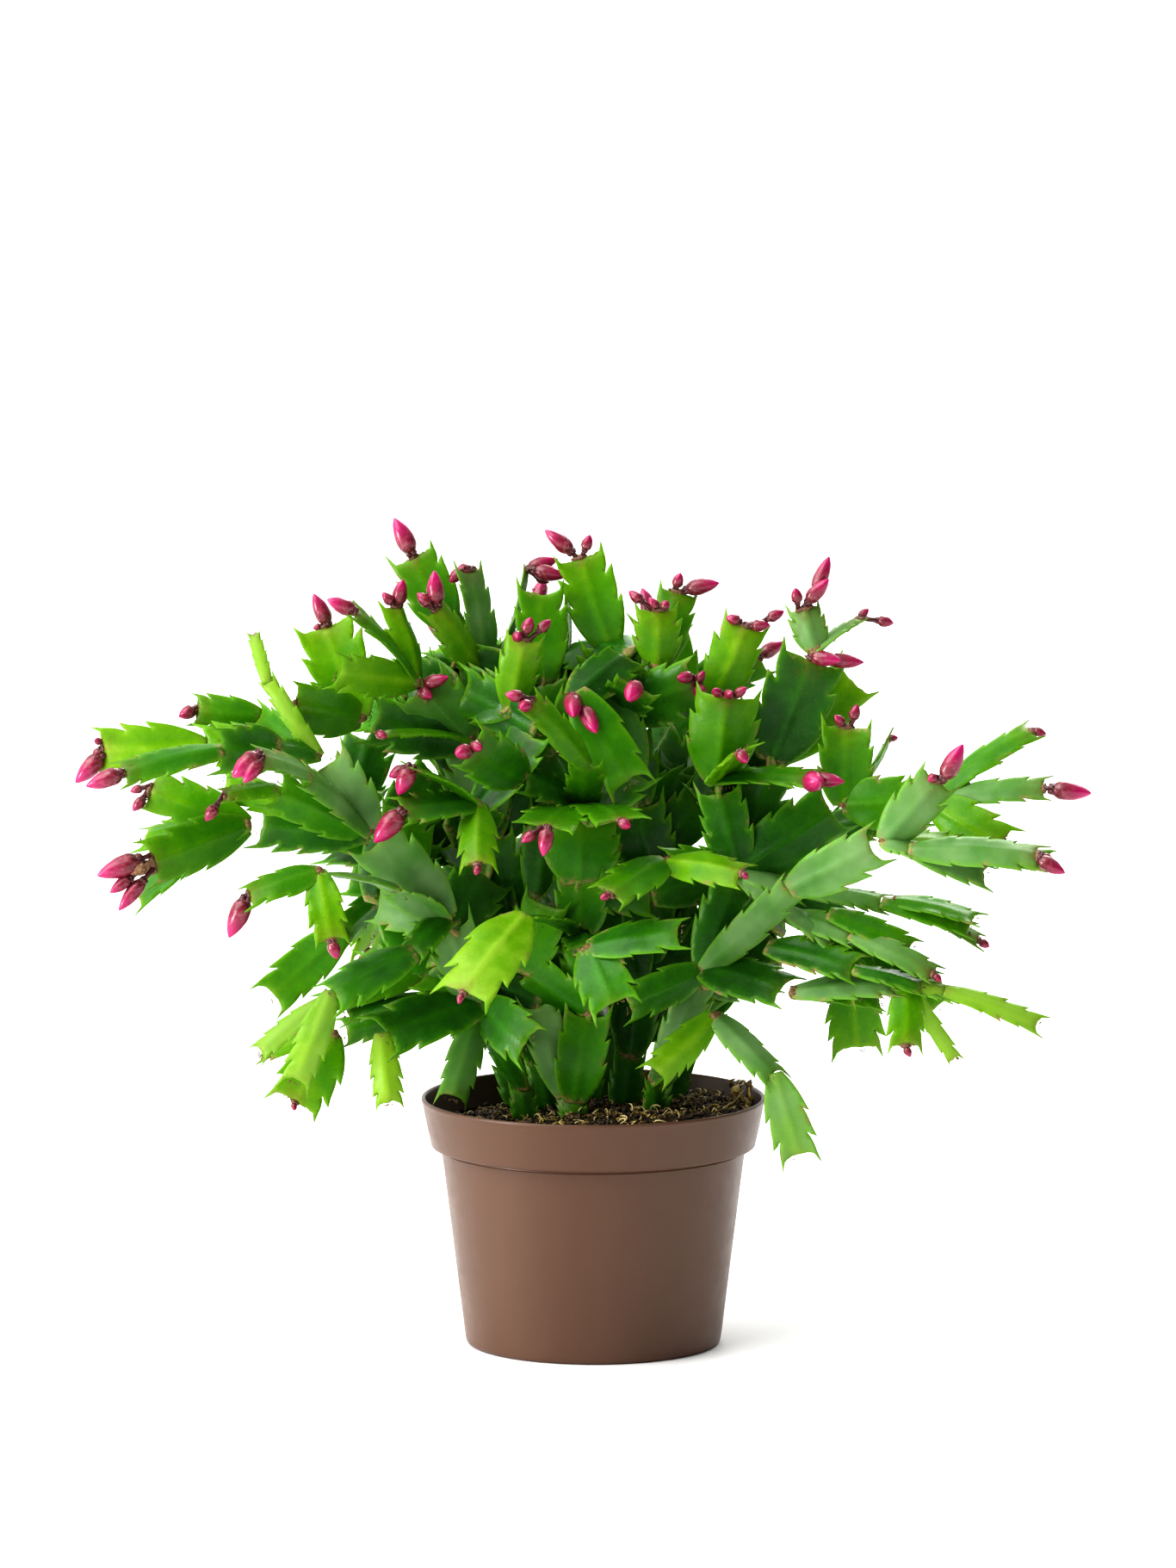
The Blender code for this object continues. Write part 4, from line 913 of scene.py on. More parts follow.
def margin(rng, length, width, neck, young, budded):
    """One margin from the foot to the middle of the apex as (along, out) points, and its notches."""
    half = width / 2
    teeth = FEW_TEETH if length / width < SLIM else MORE_TEETH
    places = [tooth + rng.uniform(-0.04, 0.04) for tooth in teeth] + [1.0]
    points, notches = [], []
    before, depth = 0.0, 0.0
    for number, place in enumerate(places):
        last = number == len(places) - 1
        size = rng.uniform(0.65, 1.25) * (0.55 + 0.60 * place)
        hook = (0.085 + 0.06 * young) * size
        ahead = min(2.6 * MM, 0.15 * width) * size * (1.5 if last else 1.0)
        span = (place - before) * length
        steps = max(6, round(span / (0.9 * MM)))
        for i in range(steps):
            x = i / steps
            part = before + (place - before) * x
            out = swell(part, neck) - depth * (1 - x) ** 2.4 + 0.45 * hook * x ** 3
            points.append((part * length, out * half))
        tip = swell(place, neck) + hook
        points.append((place * length + 0.45 * ahead, (tip - 0.28 * hook) * half))
        points.append((place * length + ahead, tip * half))
        if not last:
            depth = (0.10 + 0.16 * place) * size
            points.append((place * length + 0.52 * ahead, (tip - 0.40 * depth - hook) * half))
            points.append((place * length + 0.15 * ahead, (tip - 0.85 * depth - hook) * half))
            notches.append((place * length, (swell(place, neck) - depth) * half))
        before = place + 0.012
    scoop = min(rng.uniform(0.045, 0.075) * length, 0.16 * width) * (0.3 if budded else 1.0)
    edge = swell(1.0, neck) * half
    for part in (0.86, 0.72, 0.56, 0.38, 0.2):
        deep = 1 - (part / 0.95) ** 3
        points.append((length - scoop * deep + 0.4 * MM * rng.uniform(-0.6, 0.6), edge * part))
    points.append((length - scoop, 0.0))
    return points, notches


def inside(points, ring):
    """Which points lie inside a closed ring."""
    x, y = points[:, :1], points[:, 1:]
    x0, y0 = ring[:, 0], ring[:, 1]
    x1, y1 = np.roll(x0, -1), np.roll(y0, -1)
    crosses = (y0 > y) != (y1 > y)
    rise = np.where(y1 == y0, 1e-12, y1 - y0)
    return (crosses & (x < (x1 - x0) * (y - y0) / rise + x0)).sum(1) % 2 == 1


def distance_to(points, ring):
    """How far each point lies from a closed ring."""
    a, b = ring, np.roll(ring, -1, axis=0)
    run = b - a
    t = ((points[:, None] - a) * run).sum(2) / np.maximum((run * run).sum(1), 1e-14)
    near = a + np.clip(t, 0, 1)[:, :, None] * run
    return np.sqrt(((points[:, None] - near) ** 2).sum(2)).min(1)


ROWS = (0, 0.8, 1.7, 2.9, 4.2, 5.6, 7.0, 8.4, 9.8, 11.2, 12.6)  # mm from the midrib
STEP = 1.75 * MM
YOUNG = 0.6  # the age from which a segment is thin and yellow-green
RIM_SKIN = 0.30 * MM  # half a segment's thickness at its margin
RIB_SKIN = 0.62 * MM  # how far the midrib stands up
FOOT_SKIN = 0.5 * MM  # how much thicker each side is at the foot
LIP = 0.22 * MM  # how far the margin's edge stands out
SINK = 1.6 * MM  # how deep a segment's foot is set into the one before it
FIRST_SINK = 0.6 * MM


def leaf_outline(rng, segment, neck, young, budded):
    right, notches = margin(rng, segment.length, segment.width, neck, young, budded)
    left, more = margin(rng, segment.length, segment.width, neck, young, budded)
    ring = right + [(a, -b) for a, b in reversed(left[:-1])]
    return np.array(ring), notches + [(a, -b) for a, b in more]


def leaf_points(ring, width):
    """Points spread over the inside of an outline, closer together at the midrib."""
    found = []
    low, high = ring[:, 0].min(), ring[:, 0].max()
    for number, row in enumerate(ROWS):
        for side in ((1, -1) if row else (1,)):
            at = np.arange(low + STEP * (0.5 + 0.5 * (number % 2)), high, STEP)
            found.append(np.stack([at, np.full(len(at), side * row * MM)], 1))
        if row * MM > width / 2:
            break
    found = np.concatenate(found)
    found = found[inside(found, ring)]
    return found[distance_to(found, ring) > 0.6 * MM]


def triangulate(ring, spread):
    """Triangles of the outline through the spread points, each turned the same way."""
    points = [Vector(p) for p in np.concatenate([ring, spread])]
    count = len(ring)
    corners, _, faces, _, _, _ = delaunay_2d_cdt(points, [], [list(range(count))], 1, 1e-7)
    flat = np.array([list(p) for p in corners])
    made = []
    for face in faces:
        a, b, c = (flat[i] for i in face[:3])
        turn = (b[0] - a[0]) * (c[1] - a[1]) - (b[1] - a[1]) * (c[0] - a[0])
        if abs(turn) > 1e-14:
            made.append(tuple(face) if turn > 0 else tuple(reversed(face)))
    return flat, made


def border(faces):
    """The outer edges of a set of triangles, in their turning direction."""
    edges = {}
    for face in faces:
        for i in range(len(face)):
            edges[(face[i], face[(i + 1) % len(face)])] = True
    return [edge for edge in edges if (edge[1], edge[0]) not in edges]


def leaf_sheet(rng, segment, flat, first):
    """A segment's middle surface, with its own bow, twist, curl, fold and ripples.

    It gives the points, which way is out and which way is across at each, the segment's frame, and where its
    noise starts.
    """
    along, out = flat[:, 0], flat[:, 1]
    part = along / segment.length
    half = segment.width / 2
    curl = rng.uniform(-1.6, 2.2) * MM * (segment.width / (20 * MM))
    twist = math.radians(rng.uniform(-20, 20))
    wave = rng.uniform(0.25, 0.75) * MM * min(1, segment.width / (15 * MM))
    phase = Vector((rng.uniform(0, 50), rng.uniform(0, 50), 0))
    ripple = np.array([noise.noise(Vector((a * 95, b * 60, 0)) + phase) for a, b in flat])
    fold = rng.uniform(-0.22, 0.10)
    lift = curl * (out / half) ** 2 + fold * np.abs(out) + 2 * wave * ripple * (np.abs(out) / half) ** 1.5
    bend = BOW * segment.length
    bow = bend * np.sin(math.pi * np.clip(part, -0.2, 1.2))
    slope = bend * math.pi * np.cos(math.pi * np.clip(part, 0, 1)) / segment.length
    turn = twist * (part - 0.5) * np.clip(part * 3, 0, 1)
    e_along, e_out, e_across = (np.array(v) for v in (segment.along, segment.out, segment.across))
    sink = FIRST_SINK if first else SINK
    base = np.array(segment.start) - e_along * sink
    stretch = (segment.length + sink) / segment.length
    normal = e_out[None] - slope[:, None] * e_along[None]
    normal /= np.linalg.norm(normal, axis=1)[:, None]
    across = np.cos(turn)[:, None] * e_across[None] + np.sin(turn)[:, None] * normal
    normal = np.cos(turn)[:, None] * normal - np.sin(turn)[:, None] * e_across[None]
    line = base[None] + np.outer(along * stretch, e_along) + np.outer(bow, e_out)
    sheet = line + across * out[:, None] + normal * lift[:, None]
    return sheet, normal, across, (base, e_along, e_across, e_out, stretch), phase


def leaf_marks(segment, flat, deep, rib, foot, phase, look, last, budded):
    """Each point's tone (age, with painted shade at the foot), midrib (partly painted highlight) and margin,
    and its wax with painted sheen, reddened end and bark.
    """
    age, wax_and_sheen = look
    along, out = flat[:, 0], flat[:, 1]
    rim = np.exp(-deep / (0.55 * MM))
    apex = np.hypot(along - segment.length, out)
    end = np.exp(-apex / (4.2 * MM)) * (1.0 if budded else (0.35 if last else 0.15))
    part = along / segment.length
    # The tone is lighter towards the apex and the margins, and darker at the foot, where painted shade stands
    # for the shadow in the joint.
    tone = age + 0.16 * np.clip(part - 0.4, 0, 1) - 0.06 * foot + 0.10 * np.exp(-deep / (2.2 * MM)) - 0.03
    worn = np.array([noise.noise(Vector((a * 140, b * 140, 7)) + phase) for a, b in flat])
    scar = rim * np.clip(worn * 3 - 0.55 - 0.3 * age, 0, 1)
    scar = np.maximum(scar, np.clip(1.4 - along / (2.2 * MM), 0, 1) * (0.9 if age < 0.5 else 0.35))
    scar = np.maximum(scar, np.exp(-apex / (1.6 * MM)) * 0.8)
    growth = np.stack([tone, rib * (1.0 if age > YOUNG else 0.6), rim], 1)
    return growth, np.stack([np.full(len(flat), wax_and_sheen), end, scar], 1)


def add_leaf(shape, rng, segment, look, first, last, budded):
    """One stem segment: toothed margins, a raised midrib, thin rims, and bristles."""
    age = look[0]
    young = 1.0 if age > YOUNG else 0.0
    neck_width = min(segment.width * 0.8, max(5.2 * MM, (0.40 - 0.12 * young) * segment.width))
    ring, notches = leaf_outline(rng, segment, neck_width / segment.width, young, budded)
    flat, faces = triangulate(ring, leaf_points(ring, segment.width))
    deep = distance_to(flat, ring)
    part = flat[:, 0] / segment.length
    middle = THICKNESS / 2 * (1.0 - 0.12 * young)
    skin = RIM_SKIN + (middle - RIM_SKIN) * (1 - np.exp(-deep / (1.9 * MM)))
    rib = np.exp(-((flat[:, 1] / (1.5 * MM)) ** 2)) * np.clip(1.2 - 0.6 * part, 0, 1)
    foot = np.exp(-np.clip(part, 0, 1) * 9)
    skin = skin + RIB_SKIN * rib * np.clip(deep / (1.2 * MM), 0, 1) + FOOT_SKIN * foot
    sheet, normal, across, frame, phase = leaf_sheet(rng, segment, flat, first)
    upper, lower = sheet + normal * skin[:, None], sheet - normal * skin[:, None]
    count = len(flat)
    rim_edges = border(faces)
    on_rim = sorted({i for edge in rim_edges for i in edge})
    aside = flat[on_rim] - np.array([segment.length * 0.5, 0.0])
    aside /= np.linalg.norm(aside, axis=1)[:, None]
    lip = sheet[on_rim] + LIP * (np.outer(aside[:, 0], frame[1]) + across[on_rim] * aside[:, 1:])
    where = {i: 2 * count + k for k, i in enumerate(on_rim)}
    made = [tuple(reversed(face)) for face in faces]
    made += [tuple(i + count for i in face) for face in faces]
    for i, j in rim_edges:
        made.append((i, j, where[j], where[i]))
        made.append((where[i], where[j], j + count, i + count))
    growth, weather = leaf_marks(segment, flat, deep, rib, foot, phase, look, last, budded)
    order = list(range(count)) * 2 + on_rim
    shape.add(np.concatenate([upper, lower, lip]), made, 0, growth=growth[order], weather=weather[order])
    add_felt(shape, rng, segment, notches, frame, age, last)


def add_felt(shape, rng, segment, notches, frame, age, last):
    """Short tan bristles in the notches and along the cut-off apex."""
    base, e_along, e_across, e_out, stretch = frame
    places = [(a, b, 1 if age < 0.3 else 2) for a, b in notches if rng.random() < 0.75]
    places += [(segment.length - 0.6 * MM, rng.uniform(-0.22, 0.22) * segment.width, 1)
               for _ in range(9 if last else 5)]
    for a, b, count in places:
        for _ in range(count):
            root = base + e_along * a * stretch + e_across * b
            ahead = rng.uniform(0.5, 1.0)
            aside = rng.uniform(-0.5, 0.5) + (0.6 if b > 0 else -0.6)
            push = e_along * ahead + e_across * aside + e_out * rng.uniform(-0.5, 0.5)
            tip = root + push * rng.uniform(0.9, 2.2) * MM
            middle = (root + tip) / 2 + e_out * 0.15 * MM
            tube(shape, (root, middle, tip), (0.16 * MM, 0.12 * MM, 0.04 * MM), 3, 1)


def add_cork(shape, rng, form, place, segment, size):
    """A lumpy ring of bark where a segment springs from its joint."""
    axes = (segment.across * 0.62 * size, segment.along * 0.42 * size, segment.out * 0.46 * size)
    lump(shape, form, place, axes, 0.45, 1)
    for _ in range(5):
        around = rng.uniform(-1, 1)
        root = place + segment.across * around * size * 0.5 + segment.out * rng.choice((-1, 1)) * size * 0.3
        tip = root + (segment.out * rng.uniform(-1, 1) + segment.along * rng.uniform(-1, 0.4)) * 1.8 * MM
        tube(shape, (root, tip), (0.16 * MM, 0.05 * MM), 3, 1)


def within_crown(point):
    """Whether a place is in the dense middle of the plant."""
    x, y, z = point / CM
    top = 26.4 - (0.022 if x < 0 else 0.050) * x * x - 0.02 * y * y
    return -10.5 < x < 7.0 and -2.2 < y < 7.0 and 10.8 + 0.42 * abs(x) < z < top


def inner_segments(rng, parent):
    """The further segments that fill the crown, sprung from the joint at a segment's tip."""
    found = []
    if not within_crown(parent.end):
        return found
    for _ in range(2 if rng.random() < 0.45 else 1):
        for _ in range(FILL_TRIES):
            side = drawn(rng, (-1, 1), (0.05, 0.9), (-0.15, 1.0)).normalized()
            spread = Vector((parent.end.x, parent.end.y, 0)).normalized() * 0.35
            run = (side + spread).normalized() * rng.uniform(2.6, 3.7) * CM
            end = parent.end + run
            if within_crown(end) and run.normalized().dot(parent.along) > -0.2:
                facing = rng.choice(("F", "F", "F", "FL", "FR", "FU", "BL", "BR"))
                found.append(Segment(parent.end, end, rng.uniform(1.6, 2.3) * CM, facing))
                break
    return found


# The greens, and the waxy bloom with its painted sheen, of the segments that fill the crown.
FILL_TONES = ((0.08, 0.05), (0.12, 0.1), (0.18, 0.15), (0.26, 0.0), (0.36, 0.0))
FILL_TRIES = 14
SLOTS = {
    "dark": "old_green",
    "mid": "old_green",
    "grey": "waxy_green",
    "bright": "young_green",
    "pale": "young_green",
}


def make_plant(stem, cork):
    """The stems and branches. It returns each shoot's last segment."""
    tips = {}
    round_form = ball(2)
    carried = {base for _, base, _ in PLANT}
    for number, (name, base, shoots) in enumerate(PLANT):
        rng = random.Random(STEM_SEED + number)
        more = random.Random(FILL_SEED + number)
        shape = Shape("growth", "weather")
        placed = place_piece(base, shoots, tips)
        rooted = not isinstance(base[0], str)
        for shoot, segments in enumerate(placed):
            tips[(name, shoot)] = segments[-1]
            age, wax_and_sheen = TONES[shoots[shoot][0]]
            age += rng.uniform(-0.05, 0.05)
            for i, segment in enumerate(segments):
                last = i == len(segments) - 1
                budded = last and (name, shoot) in BUDS
                fresh = age if rooted else age + 0.05 * i
                if last and (name, shoot) not in carried:
                    fresh += 0.05
                look = OWN_TONES.get((name, shoot, i), (min(1, fresh), wax_and_sheen))
                add_leaf(shape, rng, segment, look, i == 0, last, budded)
                if i and age < YOUNG:
                    add_cork(shape, rng, round_form, segment.start, segment, 4.2 * MM if rooted else 3.2 * MM)
                for inner in inner_segments(more, segment):
                    deep = more.choice(FILL_TONES)
                    add_leaf(shape, more, inner, deep, False, True, False)
                    for second in inner_segments(more, inner)[:1]:
                        add_leaf(shape, more, second, (deep[0] + 0.12, deep[1]), False, True, False)
        for bearer, foot, green, joints in SPRAYS:
            if bearer == name:
                for segment in segments_of(Vector(foot) * CM, joints):
                    add_leaf(shape, more, segment, TONES[green], False, True, False)
        first = placed[0][0]
        big = 6.2 * MM if rooted else 4.6 * MM
        if TONES[shoots[0][0]][0] < YOUNG or len(placed) > 1:
            add_cork(shape, rng, round_form, first.start, first, big)
        shape.finish(name + "_stem", [stem, cork], SLOTS[shoots[0][0]], [name])
    return tips


# ---- Flower buds -----------------------------------------------------------------------------------

BUD_RINGS = 26
BUD_SIDES = 22
BRACTS = 9
GOLDEN_ANGLE = 2.39996
SMALL_BUD = 5.3 * MM
SMALL_FORM = ball(1)
# A bud's half-width from its foot to its point, as (place, part of the widest).
BUD_FORM = ((0, 0.34), (0.06, 0.60), (0.16, 0.86), (0.28, 0.98), (0.42, 1.0), (0.56, 0.94), (0.70, 0.79),
            (0.83, 0.55), (0.93, 0.29), (0.98, 0.12), (1.0, 0.0))


def add_bud(shape, rng, foot, run, width, dried=0.0):
    """One bud: a short stalk and a pointed body wrapped in overlapping bracts."""
    length = run.length
    ahead = run.normalized()
    side = ahead.orthogonal().normalized()
    side = Matrix.Rotation(rng.uniform(0, 2 * math.pi), 3, ahead) @ side
    other = ahead.cross(side)
    small = width < SMALL_BUD
    body = min(length, max(width * (1.35 if small else 1.95), length * (0.5 if small else 0.72)))
    stalk = length - body
    root = foot + ahead * stalk
    if stalk > 0.5 * MM:
        tube(shape, (foot - ahead * 0.8 * MM, foot + ahead * stalk * 0.6, root + ahead * 0.6 * MM),
             (1.0 * MM, 0.9 * MM, 1.1 * MM), 8, 0, bloom=(0.02, 0.1, dried))
    parts = [0.5 - 0.5 * math.cos(math.pi * (i / BUD_RINGS)) for i in range(BUD_RINGS)]
    sweep = width * rng.uniform(-0.10, 0.22)
    bracts = [(k * GOLDEN_ANGLE + rng.uniform(-0.2, 0.2), 0.20 + 0.84 * (k / (BRACTS - 1)) ** 1.15)
              for k in range(BRACTS)]
    points, bloom = [], []
    ripe = min(1.0, (width / (7.5 * MM)) ** 1.2) * rng.uniform(0.65, 1.1)
    crease = 0.25 if dried else 0.0
    for part in parts:
        wide = float(np.interp(part, *zip(*BUD_FORM)))
        for k in range(BUD_SIDES):
            angle = 2 * math.pi * k / BUD_SIDES
            cover, edge = 0.0, 0.0
            for turn, reach_up in bracts:
                apart = abs((angle - turn + math.pi) % (2 * math.pi) - math.pi)
                top = reach_up * (1 - (apart / 1.55) ** 2) if apart < 1.55 else 0.0
                cover += 1 / (1 + math.exp(-(top - part) / 0.022))
                edge = max(edge, math.exp(-(((top - part) / 0.03) ** 2)))
            radius = width / 2 * (wide * 0.86 + 0.045 * min(cover, 3.5) * min(1, wide * 2))
            radius *= 1 + crease * noise.noise(Vector((angle * 1.5, part * 6, length * 1000)))
            centre = root + ahead * body * part + side * sweep * part * part
            points.append(centre + radius * (math.cos(angle) * side + math.sin(angle) * other))
            bloom.append((part * (0.45 + 0.55 * ripe) + 0.06, edge * (1 - part), dried))
    points.append(root + ahead * body + side * sweep)
    bloom.append((0.55 + 0.45 * ripe, 0, dried))
    faces = sleeve(BUD_RINGS, BUD_SIDES)
    row = (BUD_RINGS - 1) * BUD_SIDES
    faces += [(row + k, row + (k + 1) % BUD_SIDES, len(points) - 1) for k in range(BUD_SIDES)]
    faces.append(tuple(reversed(range(BUD_SIDES))))
    shape.add(points, faces, 0, bloom=bloom)
    collar = ahead.orthogonal().normalized() * width * 0.24
    for k in range(4):
        angle = 2 * math.pi * k / 4 + rng.uniform(-0.3, 0.3)
        arm = Matrix.Rotation(angle, 3, ahead) @ collar
        lump(shape, SMALL_FORM, root + arm * 0.8, (ahead * width * 0.26, arm * 0.55, ahead.cross(arm) * 0.8),
             0.2, 0, bloom=(0.0, 0.25, dried))


def make_buds(tips, bud):
    """The clusters of buds at the shoots' tips, and a few dried flowers."""
    groups = {}
    for bearer, rows in BUDS.items():
        name = BUD_NODES.get(bearer) or "small_buds_" + bearer[0]
        groups.setdefault(name, []).append((bearer, rows))
    for number, (name, clusters) in enumerate(groups.items()):
        rng = random.Random(BUD_SEED + number)
        shape = Shape("bloom")
        for bearer, rows in clusters:
            tip = tips[bearer]
            room = min(2.6 * MM, tip.width * 0.5 / max(1, len(rows)))
            order = sorted(range(len(rows)), key=lambda i: Vector(rows[i][:3]).dot(tip.across))
            for rank, i in enumerate(order):
                x, y, z, width = rows[i]
                slide = tip.across * room * (rank - (len(rows) - 1) / 2)
                foot = tip.end + slide + tip.along * 0.6 * MM
                add_bud(shape, rng, foot, Vector((x, y, z)) * CM, width * CM)
            lump(shape, SMALL_FORM, tip.end, (tip.across * (1.4 * MM + room * len(rows) * 0.4),
                 tip.along * 1.3 * MM, tip.out * 1.3 * MM), 0.4, 0, bloom=(0.0, 0.0, 0.6))
            if bearer == WITHERED:
                for _ in range(6):
                    run = drawn(rng, (-1.0, 0.1), (-0.5, 0.3), (-0.9, 0.6)) * CM
                    add_bud(shape, rng, tip.end, run, rng.uniform(3, 5) * MM, 1.0)
        nodes = [name] if name in BUD_NODES.values() else []
        shape.finish(name + "_bloom", [bud], "flower_buds", nodes)


# ---- Pot and compost -------------------------------------------------------------------------------

def wall_radius(height):
    return BASE_RADIUS + (NECK_RADIUS - BASE_RADIUS) * height / COLLAR_FOOT


def beside(radius, height, steps):
    """Points of an outline, each given in millimetres from a (radius, height) point."""
    return [(radius + out * MM, height + up * MM) for out, up in steps]


def turned_mesh(name, profile, steps):
    """A closed mesh turned round Z from (radius, height) points that start and end on the axis."""
    mesh = bpy.data.meshes.new(name)
    points = [(0, 0, profile[0][1])]
    faces = []
    for radius, height in profile[1:-1]:
        for k in range(steps):
            angle = 2 * math.pi * k / steps
            points.append((radius * math.sin(angle), -radius * math.cos(angle), height))
    points.append((0, 0, profile[-1][1]))
    rows = len(profile) - 2
    for k in range(steps):
        after = (k + 1) % steps
        faces.append((0, 1 + after, 1 + k))
        for i in range(rows - 1):
            row, above = 1 + i * steps, 1 + (i + 1) * steps
            faces.append((row + k, row + after, above + after, above + k))
        row = 1 + (rows - 1) * steps
        faces.append((row + k, row + after, len(points) - 1))
    mesh.from_pydata(points, [], faces)
    turn_outwards(mesh)
    return mesh


# The groove beneath the collar, in millimetres out and up from the collar's foot.
GROOVE = ((-0.05, -1.5), (-0.28, -1.3), (-0.28, -0.8), (0, -0.6))
OUTER_HEIGHTS = (4, 10, 20, 30, 40, 50, 60, 68)  # mm
INNER_HEIGHTS = (60, 40, 20, 5)  # mm
# The rounded foot of the pot and its rolled rim, as (radius, height) in millimetres.
FOOT_OUTLINE = ((46.0, 0.0), (47.0, 0.1), (47.7, 0.45), (48.1, 1.0), (48.35, 1.8))
RIM_OUTLINE = ((63.2, 84.5), (64.55, 91.4), (64.75, 92.3), (64.98, 92.8), (65.0, 93.3), (64.85, 93.75),
               (64.5, 94.0), (64.0, 93.98), (63.6, 93.7), (63.4, 93.2), (63.2, 92.0))


def make_pot(material):
    """The pot: a thin wall with a collar, a groove beneath the collar, and drain holes in the floor."""
    outside = beside(0, 0, FOOT_OUTLINE)
    outside += [(wall_radius(height * MM), height * MM) for height in OUTER_HEIGHTS]
    outside += beside(wall_radius(COLLAR_FOOT), COLLAR_FOOT, GROOVE)
    outside += beside(NECK_RADIUS, COLLAR_FOOT, ((0.1, -0.35), (0.7, -0.05)))
    outside += beside(COLLAR_RADIUS, COLLAR_FOOT, ((-0.9, 0), (-0.3, 0.12), (0, 0.5), (0.1, 1.1)))
    outside += beside(0, 0, RIM_OUTLINE)
    inner = beside(COLLAR_RADIUS - WALL, COLLAR_FOOT, ((0.2, 3), (-0.2, 1.9)))
    inner += [(NECK_RADIUS - WALL, COLLAR_FOOT)]
    inner += [(wall_radius(height * MM) - WALL, height * MM) for height in INNER_HEIGHTS]
    inner += beside(wall_radius(FLOOR) - WALL, FLOOR, ((-0.4, 0.6),))
    inner += beside(BASE_RADIUS - WALL, FLOOR, ((-1.2, 0),))
    profile = [(0, 0)] + outside + inner + [(0, FLOOR)]
    pot = put("pot_shell", turned_mesh("pot_shell", profile, 160))
    cutters = []
    for i in range(DRAIN_HOLES):
        angle = 2 * math.pi * i / DRAIN_HOLES
        bm = bmesh.new()
        bmesh.ops.create_cone(bm, segments=32, radius1=DRAIN_RADIUS, radius2=DRAIN_RADIUS, depth=4 * FLOOR,
                              cap_ends=True)
        place = Vector((math.cos(angle) * DRAIN_CIRCLE, math.sin(angle) * DRAIN_CIRCLE, FLOOR / 2))
        bmesh.ops.translate(bm, verts=bm.verts, vec=place)
        mesh = bpy.data.meshes.new("drain")
        bm.to_mesh(mesh)
        bm.free()
        cutters.append(put("drain", mesh))
        boolean = pot.modifiers.new("drain", "BOOLEAN")
        boolean.operation = "DIFFERENCE"
        boolean.solver = "EXACT"
        boolean.object = cutters[-1]
    graph = bpy.context.evaluated_depsgraph_get()
    mesh = bpy.data.meshes.new_from_object(pot.evaluated_get(graph))
    pot.modifiers.clear()
    pot.data = mesh
    for cutter in cutters:
        bpy.data.objects.remove(cutter)
    mesh.shade_smooth()
    mesh.set_sharp_from_angle(angle=math.radians(50))
    mesh.materials.clear()
    mesh.materials.append(material)
    settle(pot, ["pot"])


def soil_height(x, y):
    """The compost's height, heaped in the middle and higher in front and on the right."""
    out = min(1.0, math.hypot(x, y) / COLLAR_RADIUS)
    lean = SOIL_RISE_RIGHT * x / COLLAR_RADIUS - SOIL_RISE_FRONT * y / COLLAR_RADIUS
    return SOIL_LEVEL + SOIL_DOME * (1 - out * out) + lean


def soil_top(x, y):
    """The compost's height with its clods."""
    place = Vector((x, y, 0))
    clods = 1.5 * MM * noise.fractal(place * 95, 0.9, 2.2, 4) + 0.9 * MM * noise.noise(place * 420)
    edge = max(0.0, 1 - math.hypot(x, y) / COLLAR_RADIUS) * 6
    return soil_height(x, y) - 0.6 * MM + clods * min(1, 0.35 + edge)


SOIL_STEPS = 150
SOIL_RINGS = 46


def make_compost(material):
    """The compost plug, with a clodded top."""
    edge = COLLAR_RADIUS - WALL - GAP
    profile = [(0, SOIL_LEVEL)]
    profile += [(edge * (i / SOIL_RINGS) ** 0.9, SOIL_LEVEL) for i in range(1, SOIL_RINGS + 1)]
    profile += [(edge, SOIL_LEVEL - 4 * MM), (edge, COLLAR_FOOT + 3.4 * MM)]
    profile += [(NECK_RADIUS - WALL - GAP, COLLAR_FOOT + 1 * MM)]
    profile += [(wall_radius(h * MM) - WALL - GAP - 0.1 * MM, h * MM) for h in (50, 25, 6)]
    profile += [(BASE_RADIUS - WALL - 4 * MM, FLOOR + GAP), (0, FLOOR + GAP)]
    mesh = turned_mesh("compost", profile, SOIL_STEPS)
    for vertex in mesh.vertices:
        if vertex.co.z > SOIL_LEVEL - 1 * MM:
            vertex.co.z = soil_top(vertex.co.x, vertex.co.y)
    mesh.shade_smooth()
    mesh.materials.append(material)
    settle(put("compost", mesh), ["soil"])


CRUMBS = 1500
CURLS = 760
CHIPS = 120
FLAKES = 46
AXES = ((1, 0, 0), (0, 1, 0), (0, 0, 1))


